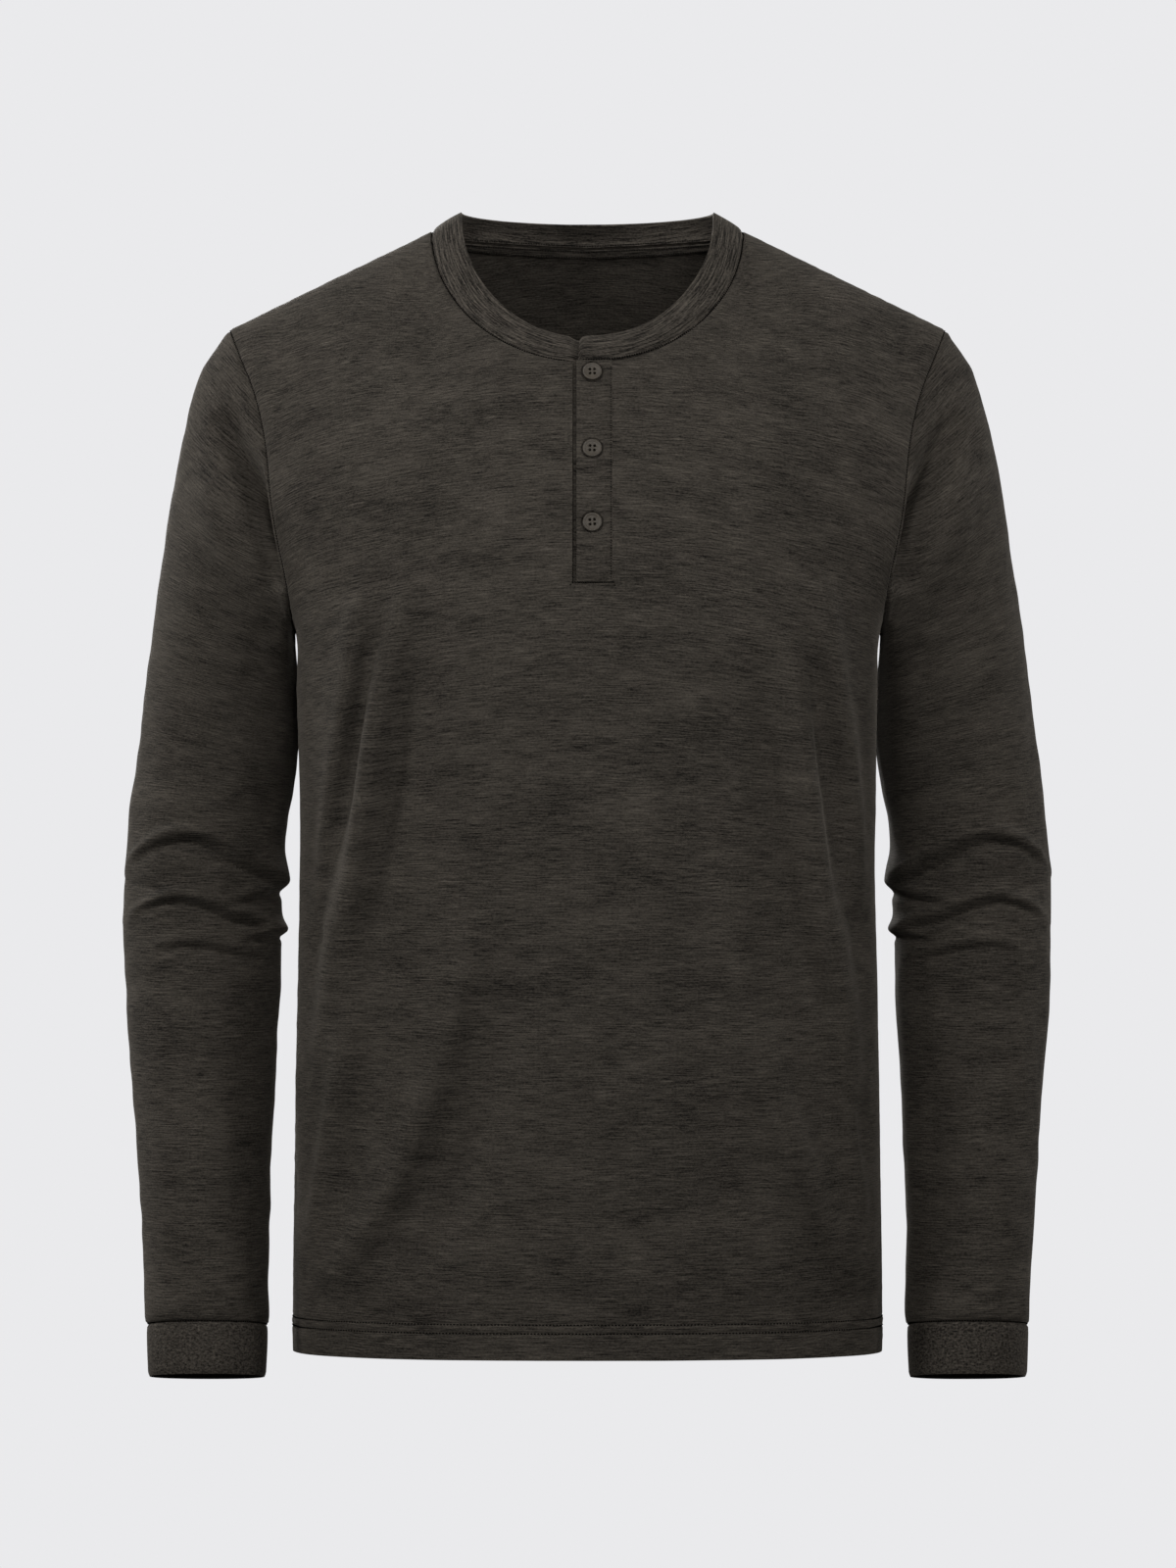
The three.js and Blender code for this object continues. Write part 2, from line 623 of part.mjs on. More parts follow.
function buttonGeometry() {
  const rim = [[0, 0], [4.7, 0], [buttonRadius, 0.7], [buttonRadius, 1.5], [5.2, 2.1],
    [4.4, 1.9], [3.7, 1.4], [0, 1.3]];
  const profile = rim.map(([radius, height]) => new THREE.Vector2(radius, height));
  let solid = toSolid(new THREE.LatheGeometry(profile, buttonSides));
  for (const [x, z] of [[1, 1], [1, -1], [-1, -1], [-1, 1]]) {
    const hole = new THREE.CylinderGeometry(buttonHoleRadius, buttonHoleRadius, 6, 8);
    hole.translate(x * buttonHoleOffset, 1, z * buttonHoleOffset);
    solid = solid.subtract(toSolid(hole));
  }
  const { vertProperties, triVerts } = solid.getMesh();
  const geometry = new THREE.BufferGeometry();
  geometry.setAttribute('position', new THREE.Float32BufferAttribute(vertProperties, 3));
  geometry.setIndex([...triVerts]);
  const flat = geometry.toNonIndexed();
  flat.computeVertexNormals();
  return flat;
}

// The place on the upper placket at a button's level, and the way the cloth faces there
function buttonSeat(level) {
  const columns = upperSheet.columns;
  let row = 0;
  while (row < placketRows - 1 && upperSheet.at[(row + 1) * columns + 1].z > level) row += 1;
  const above = row * columns + 1;
  const below = above + columns;
  const share = (level - upperSheet.at[above].z) / (upperSheet.at[below].z - upperSheet.at[above].z);
  const facing = upperSheet.facing[above].clone().lerp(upperSheet.facing[below], share).normalize();
  const place = upperSheet.at[above].clone().lerp(upperSheet.at[below], share);
  place.x = buttonX;
  return { place: place.addScaledVector(facing, seamGap), facing };
}

const cloth = (name, color) => new THREE.MeshStandardMaterial({
  name, color, roughness: 0.92, metalness: 0 });
const clothColors = {
  front_panel: 0x37342f,
  back_panel: 0x37342f,
  sleeve_left: 0x35322d,
  sleeve_right: 0x35322d,
  cuff_left: 0x2f2c28,
  cuff_right: 0x2f2c28,
  neckband: 0x34312c,
  placket_under: 0x2d2a26,
  placket_upper: 0x38352f,
  neck_tape: 0x2b2824,
};

const shirt = new THREE.Group();
for (const sheet of [...sheets, upperSheet, tapeSheet]) {
  const mesh = new THREE.Mesh(wallGeometry(sheet), cloth(sheet.name, clothColors[sheet.name]));
  mesh.name = sheet.name;
  shirt.add(mesh);
}
buttonLevels.forEach((level, index) => {
  const material = new THREE.MeshStandardMaterial({
    name: 'button', color: 0x4a4540, roughness: 0.5, metalness: 0 });
  const mesh = new THREE.Mesh(buttonGeometry(), material);
  const { place, facing } = buttonSeat(level);
  mesh.name = `button_${index + 1}`;
  mesh.position.copy(place);
  mesh.quaternion.setFromUnitVectors(new THREE.Vector3(0, 1, 0), facing);
  shirt.add(mesh);
});

export default shirt;
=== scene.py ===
import math
import bpy
import numpy as np
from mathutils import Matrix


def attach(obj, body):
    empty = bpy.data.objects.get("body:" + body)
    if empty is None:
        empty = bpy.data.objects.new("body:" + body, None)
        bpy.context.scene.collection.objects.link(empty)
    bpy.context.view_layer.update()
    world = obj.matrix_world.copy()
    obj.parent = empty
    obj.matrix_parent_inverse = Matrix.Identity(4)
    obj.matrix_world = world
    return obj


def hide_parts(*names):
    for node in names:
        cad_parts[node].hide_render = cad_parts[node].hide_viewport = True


# A long-sleeved henley shirt in dark slub jersey, open and hollow as it is when worn.
# Sizes are in millimetres until a mesh is made. The front faces -Y and +Z is up.
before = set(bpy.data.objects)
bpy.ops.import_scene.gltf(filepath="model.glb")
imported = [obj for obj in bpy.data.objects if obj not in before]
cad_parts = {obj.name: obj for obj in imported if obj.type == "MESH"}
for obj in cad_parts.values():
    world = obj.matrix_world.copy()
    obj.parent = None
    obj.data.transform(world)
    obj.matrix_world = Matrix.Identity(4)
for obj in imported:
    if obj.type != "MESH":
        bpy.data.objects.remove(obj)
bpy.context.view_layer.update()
scene = bpy.context.scene
pi = math.pi

# Camera, as the photograph was taken
view = {"place": (0.0003, -4.0, -0.358), "sensor": 32, "shownHeight": 0.984}
camera = bpy.data.objects.new("camera", bpy.data.cameras.new("camera"))
scene.collection.objects.link(camera)
camera.location = view["place"]
camera.rotation_euler = (pi / 2, 0, 0)
camera.data.sensor_fit = "VERTICAL"
camera.data.sensor_height = view["sensor"]
camera.data.lens = view["sensor"] * -view["place"][1] / view["shownHeight"]
scene.camera = camera

scene.view_settings.view_transform = "Standard"
scene.view_settings.look = "None"


# Number helpers
def ease(value, low, high):
    share = np.clip((np.asarray(value, float) - low) / (high - low), 0, 1)
    return share * share * (3 - 2 * share)


def mix(a, b, share):
    return a + (b - a) * share


def unit(vectors):
    return vectors / np.maximum(np.linalg.norm(vectors, axis=-1, keepdims=True), 1e-12)


# A smooth curve through the rows of a table
def curveThrough(at, values):
    at, values = np.array(at, float), np.array(values, float)
    last = len(at) - 1
    ahead = [min(last, k + 1) for k in range(last + 1)]
    behind = [max(0, k - 1) for k in range(last + 1)]
    slope = (values[ahead] - values[behind]) / (at[ahead] - at[behind])
    way = 1 if at[-1] > at[0] else -1

    def read(where):
        where = np.asarray(where, float)
        k = np.clip(np.searchsorted(way * at, way * where, side="right") - 1, 0, last - 1)
        span = at[k + 1] - at[k]
        t = np.clip((where - at[k]) / span, 0, 1)
        t2, t3 = t * t, t * t * t
        return ((2 * t3 - 3 * t2 + 1) * values[k] + (t3 - 2 * t2 + t) * span * slope[k]
                + (3 * t2 - 2 * t3) * values[k + 1] + (t3 - t2) * span * slope[k + 1])
    return read


# The body, with the same sizes as the frame
body = {
    "neckHalfWidth": 98, "neckPointZ": -11.3, "frontNeckDrop": 87, "backNeckDrop": 3.5,
    "shoulderX": 225, "shoulderZ": -73.4, "armpitX": 183, "armpitZ": -262,
    "hemZ": -713, "hemRise": 3.5, "shoulderRoll": 145, "rollNeck": 1.8, "rollArmhole": 2.2,
    "columnRound": 2.4, "neckShare": 0.5, "armholeRows": 11, "placketRows": 9, "lowerRows": 15,
    "placketLeft": -9, "placketRight": 15, "placketBottom": -235,
}
bodyLevels = [  # z, half width, front depth, back depth, squareness
    (0, 268, 50, 86, 2.4), (-50, 257, 66, 98, 2.4), (-77, 249, 75, 103, 2.4),
    (-110, 236, 88, 107, 2.4), (-150, 224, 104, 111, 2.4), (-193, 214, 117, 112, 2.45),
    (-235, 197, 123, 111, 2.75), (-262, 183, 125, 110, 3.2), (-300, 181.4, 125, 108, 3),
    (-400, 179.9, 122, 104, 2.65), (-500, 182, 119, 106, 2.5), (-600, 183.6, 118, 110, 2.4),
    (-690, 184.8, 119, 113, 2.4), (-720, 184, 119, 113, 2.4)]
armholeLevels = [(-73.4, 225), (-94, 216.5), (-112, 209), (-130, 203.8), (-150, 200),
                 (-190, 195.5), (-229, 188), (-247, 184.8), (-262, 183)]
bodyFolds = [  # face, top, middle, end, raise, spread
    ("front", (-137, -232), (-152, -300), (-163, -378), 3.2, 9),
    ("front", (-116, -262), (-140, -395), (-166, -560), 6.0, 12),
    ("front", (-132, -280), (-156, -400), (-176, -520), -4.0, 9),
    ("front", (-92, -435), (-118, -570), (-164, -650), 4.5, 19),
    ("front", (-70, -330), (-100, -470), (-122, -600), -2.6, 17),
    ("front", (143, -232), (155, -310), (163, -378), 3.0, 9),
    ("front", (128, -280), (146, -420), (168, -560), 5.0, 13),
    ("front", (142, -300), (158, -420), (177, -530), -3.4, 9),
    ("front", (84, -415), (108, -545), (166, -665), 4.2, 20),
    ("front", (66, -330), (88, -470), (112, -600), -2.4, 17),
    ("back", (-112, -300), (-132, -420), (-158, -580), 5.0, 16),
    ("back", (-84, -300), (-98, -430), (-120, -590), -3.0, 16),
    ("back", (116, -280), (134, -400), (156, -560), 4.6, 16),
    ("back", (86, -320), (102, -450), (122, -600), -3.0, 17),
    ("back", (-20, -420), (-26, -540), (-40, -660), 2.8, 22)]

levelsZ, halfList, frontList, backList, squareList = zip(*bodyLevels)
halfWidthAt = curveThrough(levelsZ, halfList)
depthAt = {"front": curveThrough(levelsZ, frontList), "back": curveThrough(levelsZ, backList)}
squareAt = curveThrough(levelsZ, squareList)
armholeAt = curveThrough(*zip(*armholeLevels))


def bodyDepth(face, x, z):
    square = squareAt(z)
    across = np.clip(1 - (abs(x) / halfWidthAt(z)) ** square, 0, 1) ** (1 / square)
    slope = (body["neckPointZ"] - body["shoulderZ"]) / (body["shoulderX"] - body["neckHalfWidth"])
    ridge = body["neckPointZ"] - (abs(x) - body["neckHalfWidth"]) * slope
    below = np.clip((ridge - z) / body["shoulderRoll"], 0, 1)
    outward = np.clip((abs(x) - body["neckHalfWidth"])
                      / (body["shoulderX"] - body["neckHalfWidth"]), 0, 1)
    rounding = mix(body["rollNeck"], body["rollArmhole"], outward)
    roll = (1 - (1 - below) ** rounding) ** (1 / rounding)
    return depthAt[face](z) * across * roll


def foldHeight(face, x, z):
    height = np.zeros_like(x)
    for side, top, mid, end, rise, spread in bodyFolds:
        if side != face:
            continue
        t = (top[1] - z) / (top[1] - end[1])
        bend = (top[1] - mid[1]) / (top[1] - end[1])
        bow = (mid[0] - mix(top[0], end[0], bend)) / (bend * (1 - bend))
        line = mix(top[0], end[0], t) + bow * t * (1 - t)
        along = ease(t, -0.12, 0.3) * (1 - ease(t, 0.6, 1.1))
        height += rise * along * np.exp(-((x - line) / spread) ** 2)
    return height


def chestShare(reach):
    return np.sin(reach * pi / 2) ** (2 / body["columnRound"])


def columnAt(x):
    share = (abs(x) / body["armpitX"]) ** (body["columnRound"] / 2)
    return math.copysign(math.asin(share) / (pi / 2), x)


def topEdge(face, reach):
    rounded = body["neckHalfWidth"] * np.sin(pi * reach / (2 * body["neckShare"]))
    neckX = mix(body["armpitX"] * chestShare(reach), rounded, ease(reach, 0.03, 0.3))
    drop = body["frontNeckDrop"] if face == "front" else body["backNeckDrop"]
    dip = np.sqrt(np.clip(1 - (neckX / body["neckHalfWidth"]) ** 2, 0, 1))
    out = (reach - body["neckShare"]) / (1 - body["neckShare"])
    byNeck = reach <= body["neckShare"]
    x = np.where(byNeck, neckX, mix(body["neckHalfWidth"], body["shoulderX"], out))
    z = np.where(byNeck, body["neckPointZ"] - drop * dip,
                 mix(body["neckPointZ"], body["shoulderZ"], out))
    return x, z


def fallAt(reach, row):
    rounded = (1 - np.cos(pi * row / body["armholeRows"])) / 2
    centreTop = body["neckPointZ"] - body["frontNeckDrop"]
    share = (centreTop - body["placketBottom"]) / (centreTop - body["armpitZ"])
    rest = (row - body["placketRows"]) / (body["armholeRows"] - body["placketRows"])
    stepped = np.where(row <= body["placketRows"], share * row / body["placketRows"],
                       mix(share, 1, rest))
    return mix(stepped, rounded, ease(reach, 0.15, body["neckShare"]))


def panelPoints(face, columns, rows):
    u, row = np.meshgrid(np.asarray(columns, float), np.asarray(rows, float))
    reach = abs(u)
    topX, topZ = topEdge(face, reach)
    fall = np.clip(fallAt(reach, np.minimum(row, body["armholeRows"])), 0, 1)
    bottom = body["hemZ"] + body["hemRise"] * (1 - reach ** 2)
    low = (row - body["armholeRows"]) / body["lowerRows"]
    upper = row <= body["armholeRows"]
    z = np.where(upper, mix(topZ, body["armpitZ"], fall), mix(body["armpitZ"], bottom, low))
    chest = chestShare(reach)
    x = np.where(upper, mix(topX, body["armpitX"] * chest, fall) + reach ** 4 * (
        armholeAt(z) - mix(body["shoulderX"], body["armpitX"], fall)), halfWidthAt(z) * chest)
    y = bodyDepth(face, x, z)
    side = np.where(u < 0, -1.0, 1.0)
    fold = foldHeight(face, side * x, z) * (1 - ease(reach, 0.9, 1)) * ease(row, 1, 4)
    x = x + fold * np.sin(reach * pi / 2)
    y = y + fold * np.cos(reach * pi / 2)
    return np.stack([side * x, -y if face == "front" else y, z], axis=-1)


# Sleeves and cuffs, with the same sizes as the frame
sleeveSections = [  # outer, inner, half depth, middle y, tilt, fine rings to the next section
    ((225, -73.4), (183, -262), 58, 0, 0, 10), ((236.8, -90.5), (184.3, -265.5), 60, 3, 0, 5),
    ((243.8, -103), (184.2, -270.5), 61.5, 6.5, 0, 8), ((253.7, -136), (183.4, -281), 63, 12, 0, 11),
    ((262.2, -180), (182.6, -296), 63, 20, 0, 13), ((270.4, -232), (182.2, -314), 62, 26, 0, 14),
    ((278.3, -290), (182.4, -334), 60, 28, 0, 14), ((285.6, -348), (186.3, -362), 58, 28, 0, 30),
    ((290.5, -392), (190.7, -392), 57, 27, 0, 38), ((292.6, -438), (193, -438), 56, 24, 2, 28),
    ((291.4, -480), (193.6, -480), 54, 18, 5, 18), ((287.2, -535), (196.2, -535), 50, 8, 7, 20),
    ((280.7, -608), (198.6, -608), 45, -8, 9, 16), ((276.6, -664), (199, -664), 40, -21, 9, 9),
    ((275.8, -690), (198.5, -690), 38.6, -26, 8, 3)]
cuffSections = [
    ((273.9, -695), (200, -695), 36.4, -27, 8, 3), ((274.6, -700), (199.5, -700), 36.8, -28, 8, 18),
    ((273.4, -727), (200, -727), 36, -32, 8, 0)]
sleeve = {"round": 2.15, "capBlend": 5}


def sectionCurves(sections):
    at = range(len(sections))
    reads = [lambda s: s[0][0], lambda s: s[0][1], lambda s: s[1][0], lambda s: s[1][1],
             lambda s: s[2], lambda s: s[3], lambda s: s[4]]
    return [curveThrough(at, [read(row) for row in sections]) for read in reads]


def ringPoints(curves, stop, angle):
    outerX, outerZ, innerX, innerZ, depth, middleY, tilt = [curve(stop) for curve in curves]
    across = np.sign(np.cos(angle)) * abs(np.cos(angle)) ** (2 / sleeve["round"])
    back = -depth * np.sign(np.sin(angle)) * abs(np.sin(angle)) ** (2 / sleeve["round"])
    lean = np.radians(tilt)
    x = (outerX + innerX) / 2 + (outerX - innerX) / 2 * across
    z = (outerZ + innerZ) / 2 + (outerZ - innerZ) / 2 * across - back * np.sin(lean)
    return np.stack([x, middleY + back * np.cos(lean), z], axis=-1)


# A smooth line through a few given points
def smoothPath(points, steps=5):
    points = np.array(points, float)
    ends = np.concatenate([[2 * points[0] - points[1]], points, [2 * points[-1] - points[-2]]])
    line = []
    for k in range(len(points) - 1):
        a, b, c, d = ends[k:k + 4]
        for t in np.arange(steps) / steps:
            line.append(0.5 * (2 * b + (c - a) * t + (2 * a - 5 * b + 4 * c - d) * t * t
                               + (3 * b - a - 3 * c + d) * t ** 3))
    return np.array(line + [points[-1]])


# The height of soft ridges and troughs that run along lines and fade at both ends
def creaseHeight(x, z, creases):
    height = np.zeros_like(x)
    for path, rise, spread in creases:
        line = smoothPath(path)
        reach = 3 * spread
        near = ((x > line[:, 0].min() - reach) & (x < line[:, 0].max() + reach)
                & (z > line[:, 1].min() - reach) & (z < line[:, 1].max() + reach))
        if not near.any():
            continue
        spot = np.stack([x[near], z[near]], axis=1)
        best = np.full(len(spot), 1e9)
        share = np.zeros(len(spot))
        lengths = np.linalg.norm(np.diff(line, axis=0), axis=1)
        before = np.concatenate([[0], np.cumsum(lengths)])
        for k, (a, b) in enumerate(zip(line[:-1], line[1:])):
            t = np.clip((spot - a) @ (b - a) / max(lengths[k] ** 2, 1e-9), 0, 1)
            away = np.sum((spot - a - t[:, None] * (b - a)) ** 2, axis=1)
            closer = away < best
            best[closer] = away[closer]
            share[closer] = (before[k] + t[closer] * lengths[k]) / before[-1]
        fade = np.clip(np.sin(pi * np.clip(share, 0, 1)), 0, 1) ** 0.6
        height[near] += rise * fade * np.exp(-best / spread ** 2)
    return height


# A gentle waviness: a few crossing waves with fixed directions
def ripple(x, z, seed, size, count=10):
    dice = np.random.default_rng(seed)
    total = np.zeros_like(x)
    for k in range(count):
        turn = dice.uniform(0, pi)
        wave = size * dice.uniform(0.6, 1.8)
        total += np.sin(2 * pi * (x * np.cos(turn) + z * np.sin(turn)) / wave
                        + dice.uniform(0, 2 * pi))
    return total / math.sqrt(count)


# How finely the grids are divided, per step of the frame's own grid or in all
fine = {"armhole": 6, "lower": 10, "hem": 30, "half": 72, "placket": 12, "neck": 72, "besideArmhole": 4}
armholeFine = np.arange(fine["armhole"] * body["armholeRows"] + 1) / fine["armhole"]
lowerFine = body["armholeRows"] + np.concatenate([
    np.arange(1, fine["lower"] * (body["lowerRows"] - 1) + 1) / fine["lower"],
    body["lowerRows"] - 1 + np.arange(1, fine["hem"] + 1) / fine["hem"]])
panelRows = np.concatenate([armholeFine, lowerFine])
ringPlaces = 2 * (len(armholeFine) - 1)
ringAngles = 2 * pi * np.arange(ringPlaces) / ringPlaces


def armholeRing():
    front = panelPoints("front", [1.0], armholeFine)[:, 0]
    back = panelPoints("back", [1.0], armholeFine)[:, 0]
    return np.concatenate([front, back[-2:0:-1]])


def sleeveRings(sections, drape):
    curves = sectionCurves(sections)
    stops = [k + step / row[5] for k, row in enumerate(sections[:-1]) for step in range(row[5])]
    stops = np.array(stops + [len(sections) - 1], float)[:, None]
    points = ringPoints(curves, stops, ringAngles[None, :])
    if drape:
        pull = armholeRing() - ringPoints(curves, np.zeros((1, 1)), ringAngles[None, :])[0]
        points = points + pull[None] * (1 - ease(stops, 0, sleeve["capBlend"]))[..., None]
    return points


def turned(rings):
    return np.concatenate([rings[:, :1], rings[:, :0:-1]], axis=1)


def mirrored(rings):
    return rings * np.array([-1, 1, 1])


# Sheets of cloth: rows run down and columns run to the right, seen from outside
seamGap = 0.3
jerseyWall, cuffWall = 1.0, 1.7


def makeSheet(name, points, depth, closed=False, keep=None, level=0, arch=None):
    rows, columns = points.shape[:2]
    spans = columns if closed else columns - 1
    row, column = np.meshgrid(np.arange(rows - 1), np.arange(spans), indexing="ij")
    if keep is not None:
        kept = keep(row, column)
        row, column = row[kept], column[kept]
    row, column = row.ravel(), column.ravel()
    following = (column + 1) % columns
    quads = np.stack([row * columns + column, row * columns + following,
                      (row + 1) * columns + following, (row + 1) * columns + column], axis=1)
    wide = columns + 1 if closed else columns
    corners = np.stack([row * wide + column, row * wide + column + 1,
                        (row + 1) * wide + column + 1, (row + 1) * wide + column], axis=1)
    at = points.reshape(-1, 3)
    a, b, c, d = (at[quads[:, k]] for k in range(4))
    square = np.cross(c - a, b - d)
    facing = np.zeros_like(at)
    for k in range(4):
        np.add.at(facing, quads[:, k], square)
    sheet = {"name": name, "rows": rows, "columns": columns, "closed": closed, "at": at,
             "quads": quads, "corners": corners, "facing": unit(facing), "depth": depth,
             "stretch": np.ones(len(at)), "height": np.zeros(len(at)), "points": points}
    sheet["cloth"] = clothMap(points, closed, level, arch)
    sheet["rim"] = rimEdges(quads)
    return sheet


# How far each point of a sheet is from its four edges, along the cloth
def edgeLengths(sheet):
    points = sheet["points"]
    down = np.linalg.norm(np.diff(points, axis=0), axis=2)
    down = np.concatenate([np.zeros((1, sheet["columns"])), np.cumsum(down, axis=0)], axis=0)
    right = np.linalg.norm(np.diff(points, axis=1), axis=2)
    right = np.concatenate([np.zeros((sheet["rows"], 1)), np.cumsum(right, axis=1)], axis=1)
    return {"top": down.ravel(), "bottom": (down[-1:] - down).ravel(),
            "left": right.ravel(), "right": (right[:, -1:] - right).ravel()}


# The cloth dips into its seams: edges names the sides that are sewn
def seamDip(sheet, edges, depth, reach):
    lengths = edgeLengths(sheet)
    far = np.minimum.reduce([lengths[edge] for edge in edges])
    sheet["height"] -= depth * np.exp(-(far / reach) ** 2)
    return far


# Distances along the rows and down the columns from one row, so the knit keeps its scale.
# arch says how far the courses of the knit rise or drop at a point.
def clothMap(points, closed, level, arch):
    if closed:
        points = np.concatenate([points, points[:, :1]], axis=1)
    along = np.linalg.norm(np.diff(points, axis=1), axis=2)
    down = np.linalg.norm(np.diff(points, axis=0), axis=2)
    u = np.concatenate([np.zeros((points.shape[0], 1)), np.cumsum(along, axis=1)], axis=1)
    v = np.concatenate([np.zeros((1, points.shape[1])), np.cumsum(down, axis=0)], axis=0)
    v = v[level] - v
    if arch is not None:
        v = arch(points, v)
    middle = points.shape[1] // 2
    return np.stack([u - u[:, middle:middle + 1], v], axis=-1)


# How the courses of the knit run: level by the armholes, dropping towards the sides on the
# chest and sloping down to the armpit on the sleeve cap
courses = {"level": 0.8, "levelX": (90, 165), "levelZ": (-330, -240),
           "drop": 0.0008, "dropZ": (-470, -250), "dropX": 190,
           "slope": 1.15, "slopeZ": (-420, -130), "slopeMiddle": 235}


def bodyArch(points, v):
    x, z = abs(points[..., 0]), points[..., 2]
    beside = courses["level"] * ease(x, *courses["levelX"]) * ease(z, *courses["levelZ"])
    level = mix(v, z - body["armpitZ"], beside)
    drop = courses["drop"] * ease(z, *courses["dropZ"])
    return level + drop * np.minimum(x, courses["dropX"]) ** 2


def sleeveArch(points, v):
    x, z = abs(points[..., 0]), points[..., 2]
    slope = courses["slope"] * ease(z, *courses["slopeZ"])
    return (z - slope * (x - courses["slopeMiddle"])) / np.sqrt(1 + slope ** 2)


# Edges that only one quad has: the start, the end and a corner on the cloth's side of each
def rimEdges(quads):
    a, b, c, d = quads.T
    edges = np.concatenate([np.stack(e, axis=1) for e in (
        (a, d, b), (d, c, a), (c, b, d), (b, a, c))])
    low, high = np.minimum(edges[:, 0], edges[:, 1]), np.maximum(edges[:, 0], edges[:, 1])
    first, count = np.unique(low * (quads.max() + 1) + high, return_index=True,
                             return_counts=True)[1:]
    return edges[first[count == 1]]


# Where sheets meet at a seam, their walls share one direction
def mitreSeams(sheets):
    meeting = {}
    for sheet in sheets:
        for index in np.unique(sheet["rim"][:, :2]):
            tenths = np.round(sheet["at"][index] * 10 + 0.013).astype(int)
            meeting.setdefault(tuple(tenths), []).append((sheet, index))
    for corners in meeting.values():
        if len(corners) < 2:
            continue
        own = [sheet["facing"][index] for sheet, index in corners]
        shared = unit(sum(own))
        # At the armpit the front and back count as one piece
        sides = [[way for way in own if (way @ shared < 0) == over] for over in (False, True)]
        if sides[0] and sides[1]:
            shared = unit(unit(sum(sides[0])) + unit(sum(sides[1])))
        lean = sum(way @ shared for way in own) / len(own)
        for sheet, index in corners:
            sheet["facing"][index] = shared
            sheet["stretch"][index] = 1 / max(0.5, lean)


# The outside of the cloth, drawn back a little all round its edge
def outerPoints(sheet):
    at, facing, rim = sheet["at"], sheet["facing"], sheet["rim"]
    total = np.zeros_like(at)
    along = unit(at[rim[:, 1]] - at[rim[:, 0]])
    for k in (0, 1):
        index = rim[:, k]
        inward = unit(np.cross(along, facing[index]))
        side = np.sum(inward * (at[rim[:, 2]] - at[rim[:, 0]]), axis=1)
        inward[side < 0] *= -1
        np.add.at(total, index, inward)
    size = np.sum(total ** 2, axis=1) / 2
    back = total * (seamGap / 2 / np.maximum(0.4, size))[:, None]
    return at + back + facing * sheet["height"][:, None]


def wallObject(sheet, material):
    outer = outerPoints(sheet)
    inner = outer - sheet["facing"] * (sheet["depth"] * sheet["stretch"])[:, None]
    shift = len(outer)
    a, b, c, d = sheet["quads"].T
    rim = sheet["rim"]
    faces = np.concatenate([
        np.stack([a, d, c, b], axis=1), np.stack([a, b, c, d], axis=1) + shift,
        np.stack([rim[:, 1], rim[:, 0], rim[:, 0] + shift, rim[:, 1] + shift], axis=1)])
    cloth = sheet["cloth"].reshape(-1, 2)
    e, f, g, h = (cloth[sheet["corners"][:, k]] for k in range(4))
    wide = sheet["columns"] + 1 if sheet["closed"] else sheet["columns"]
    place = (rim[:, :2] // sheet["columns"]) * wide + rim[:, :2] % sheet["columns"]
    p, q = cloth[place[:, 0]], cloth[place[:, 1]]
    maps = np.concatenate([np.stack([e, h, g, f], axis=1), np.stack([e, f, g, h], axis=1),
                           np.stack([q, p, p, q], axis=1)])
    places = np.concatenate([outer, inner])
    used = np.unique(faces)
    fresh = np.zeros(len(places), int)
    fresh[used] = np.arange(len(used))
    return meshObject(sheet["name"], places[used], fresh[faces], material, maps)


def meshObject(name, places, faces, material, maps=None, sharp=50):
    mesh = bpy.data.meshes.new(name)
    mesh.from_pydata((np.asarray(places) * 0.001).tolist(), [], np.asarray(faces).tolist())
    if maps is not None:
        layer = mesh.uv_layers.new(name="cloth")
        layer.data.foreach_set("uv", (maps.reshape(-1) * 0.001).astype(np.float32))
    mesh.materials.append(material)
    mesh.shade_smooth()
    mesh.set_sharp_from_angle(angle=math.radians(sharp))
    piece = bpy.data.objects.new(name, mesh)
    scene.collection.objects.link(piece)
    return piece


# Shader helpers: one class wraps a socket, so that shader sums read like sums
class Wire:
    def __init__(self, tree, socket):
        self.tree, self.socket = tree, socket

    def math(self, operation, *others):
        node = self.tree.nodes.new("ShaderNodeMath")
        node.operation = operation
        for place, value in enumerate((self, *others)):
            plug(self.tree, value, node.inputs[place])
        return Wire(self.tree, node.outputs[0])

    def __add__(self, other):
        return self.math("ADD", other)

    def __mul__(self, other):
        return self.math("MULTIPLY", other)

    def __sub__(self, other):
        return self.math("SUBTRACT", other)

    def __rsub__(self, other):
        return (self * -1) + other

    __radd__ = __add__
    __rmul__ = __mul__

    def clamped(self, low, high):
        return self.math("MAXIMUM", low).math("MINIMUM", high)

    def eased(self, low, high):
        node = self.tree.nodes.new("ShaderNodeMapRange")
        node.interpolation_type = "SMOOTHSTEP"
        plug(self.tree, self, node.inputs["Value"])
        plug(self.tree, low, node.inputs["From Min"])
        plug(self.tree, high, node.inputs["From Max"])
        return Wire(self.tree, node.outputs["Result"])


def plug(tree, value, socket):
    if isinstance(value, Wire):
        tree.links.new(value.socket, socket)
    else:
        socket.default_value = value


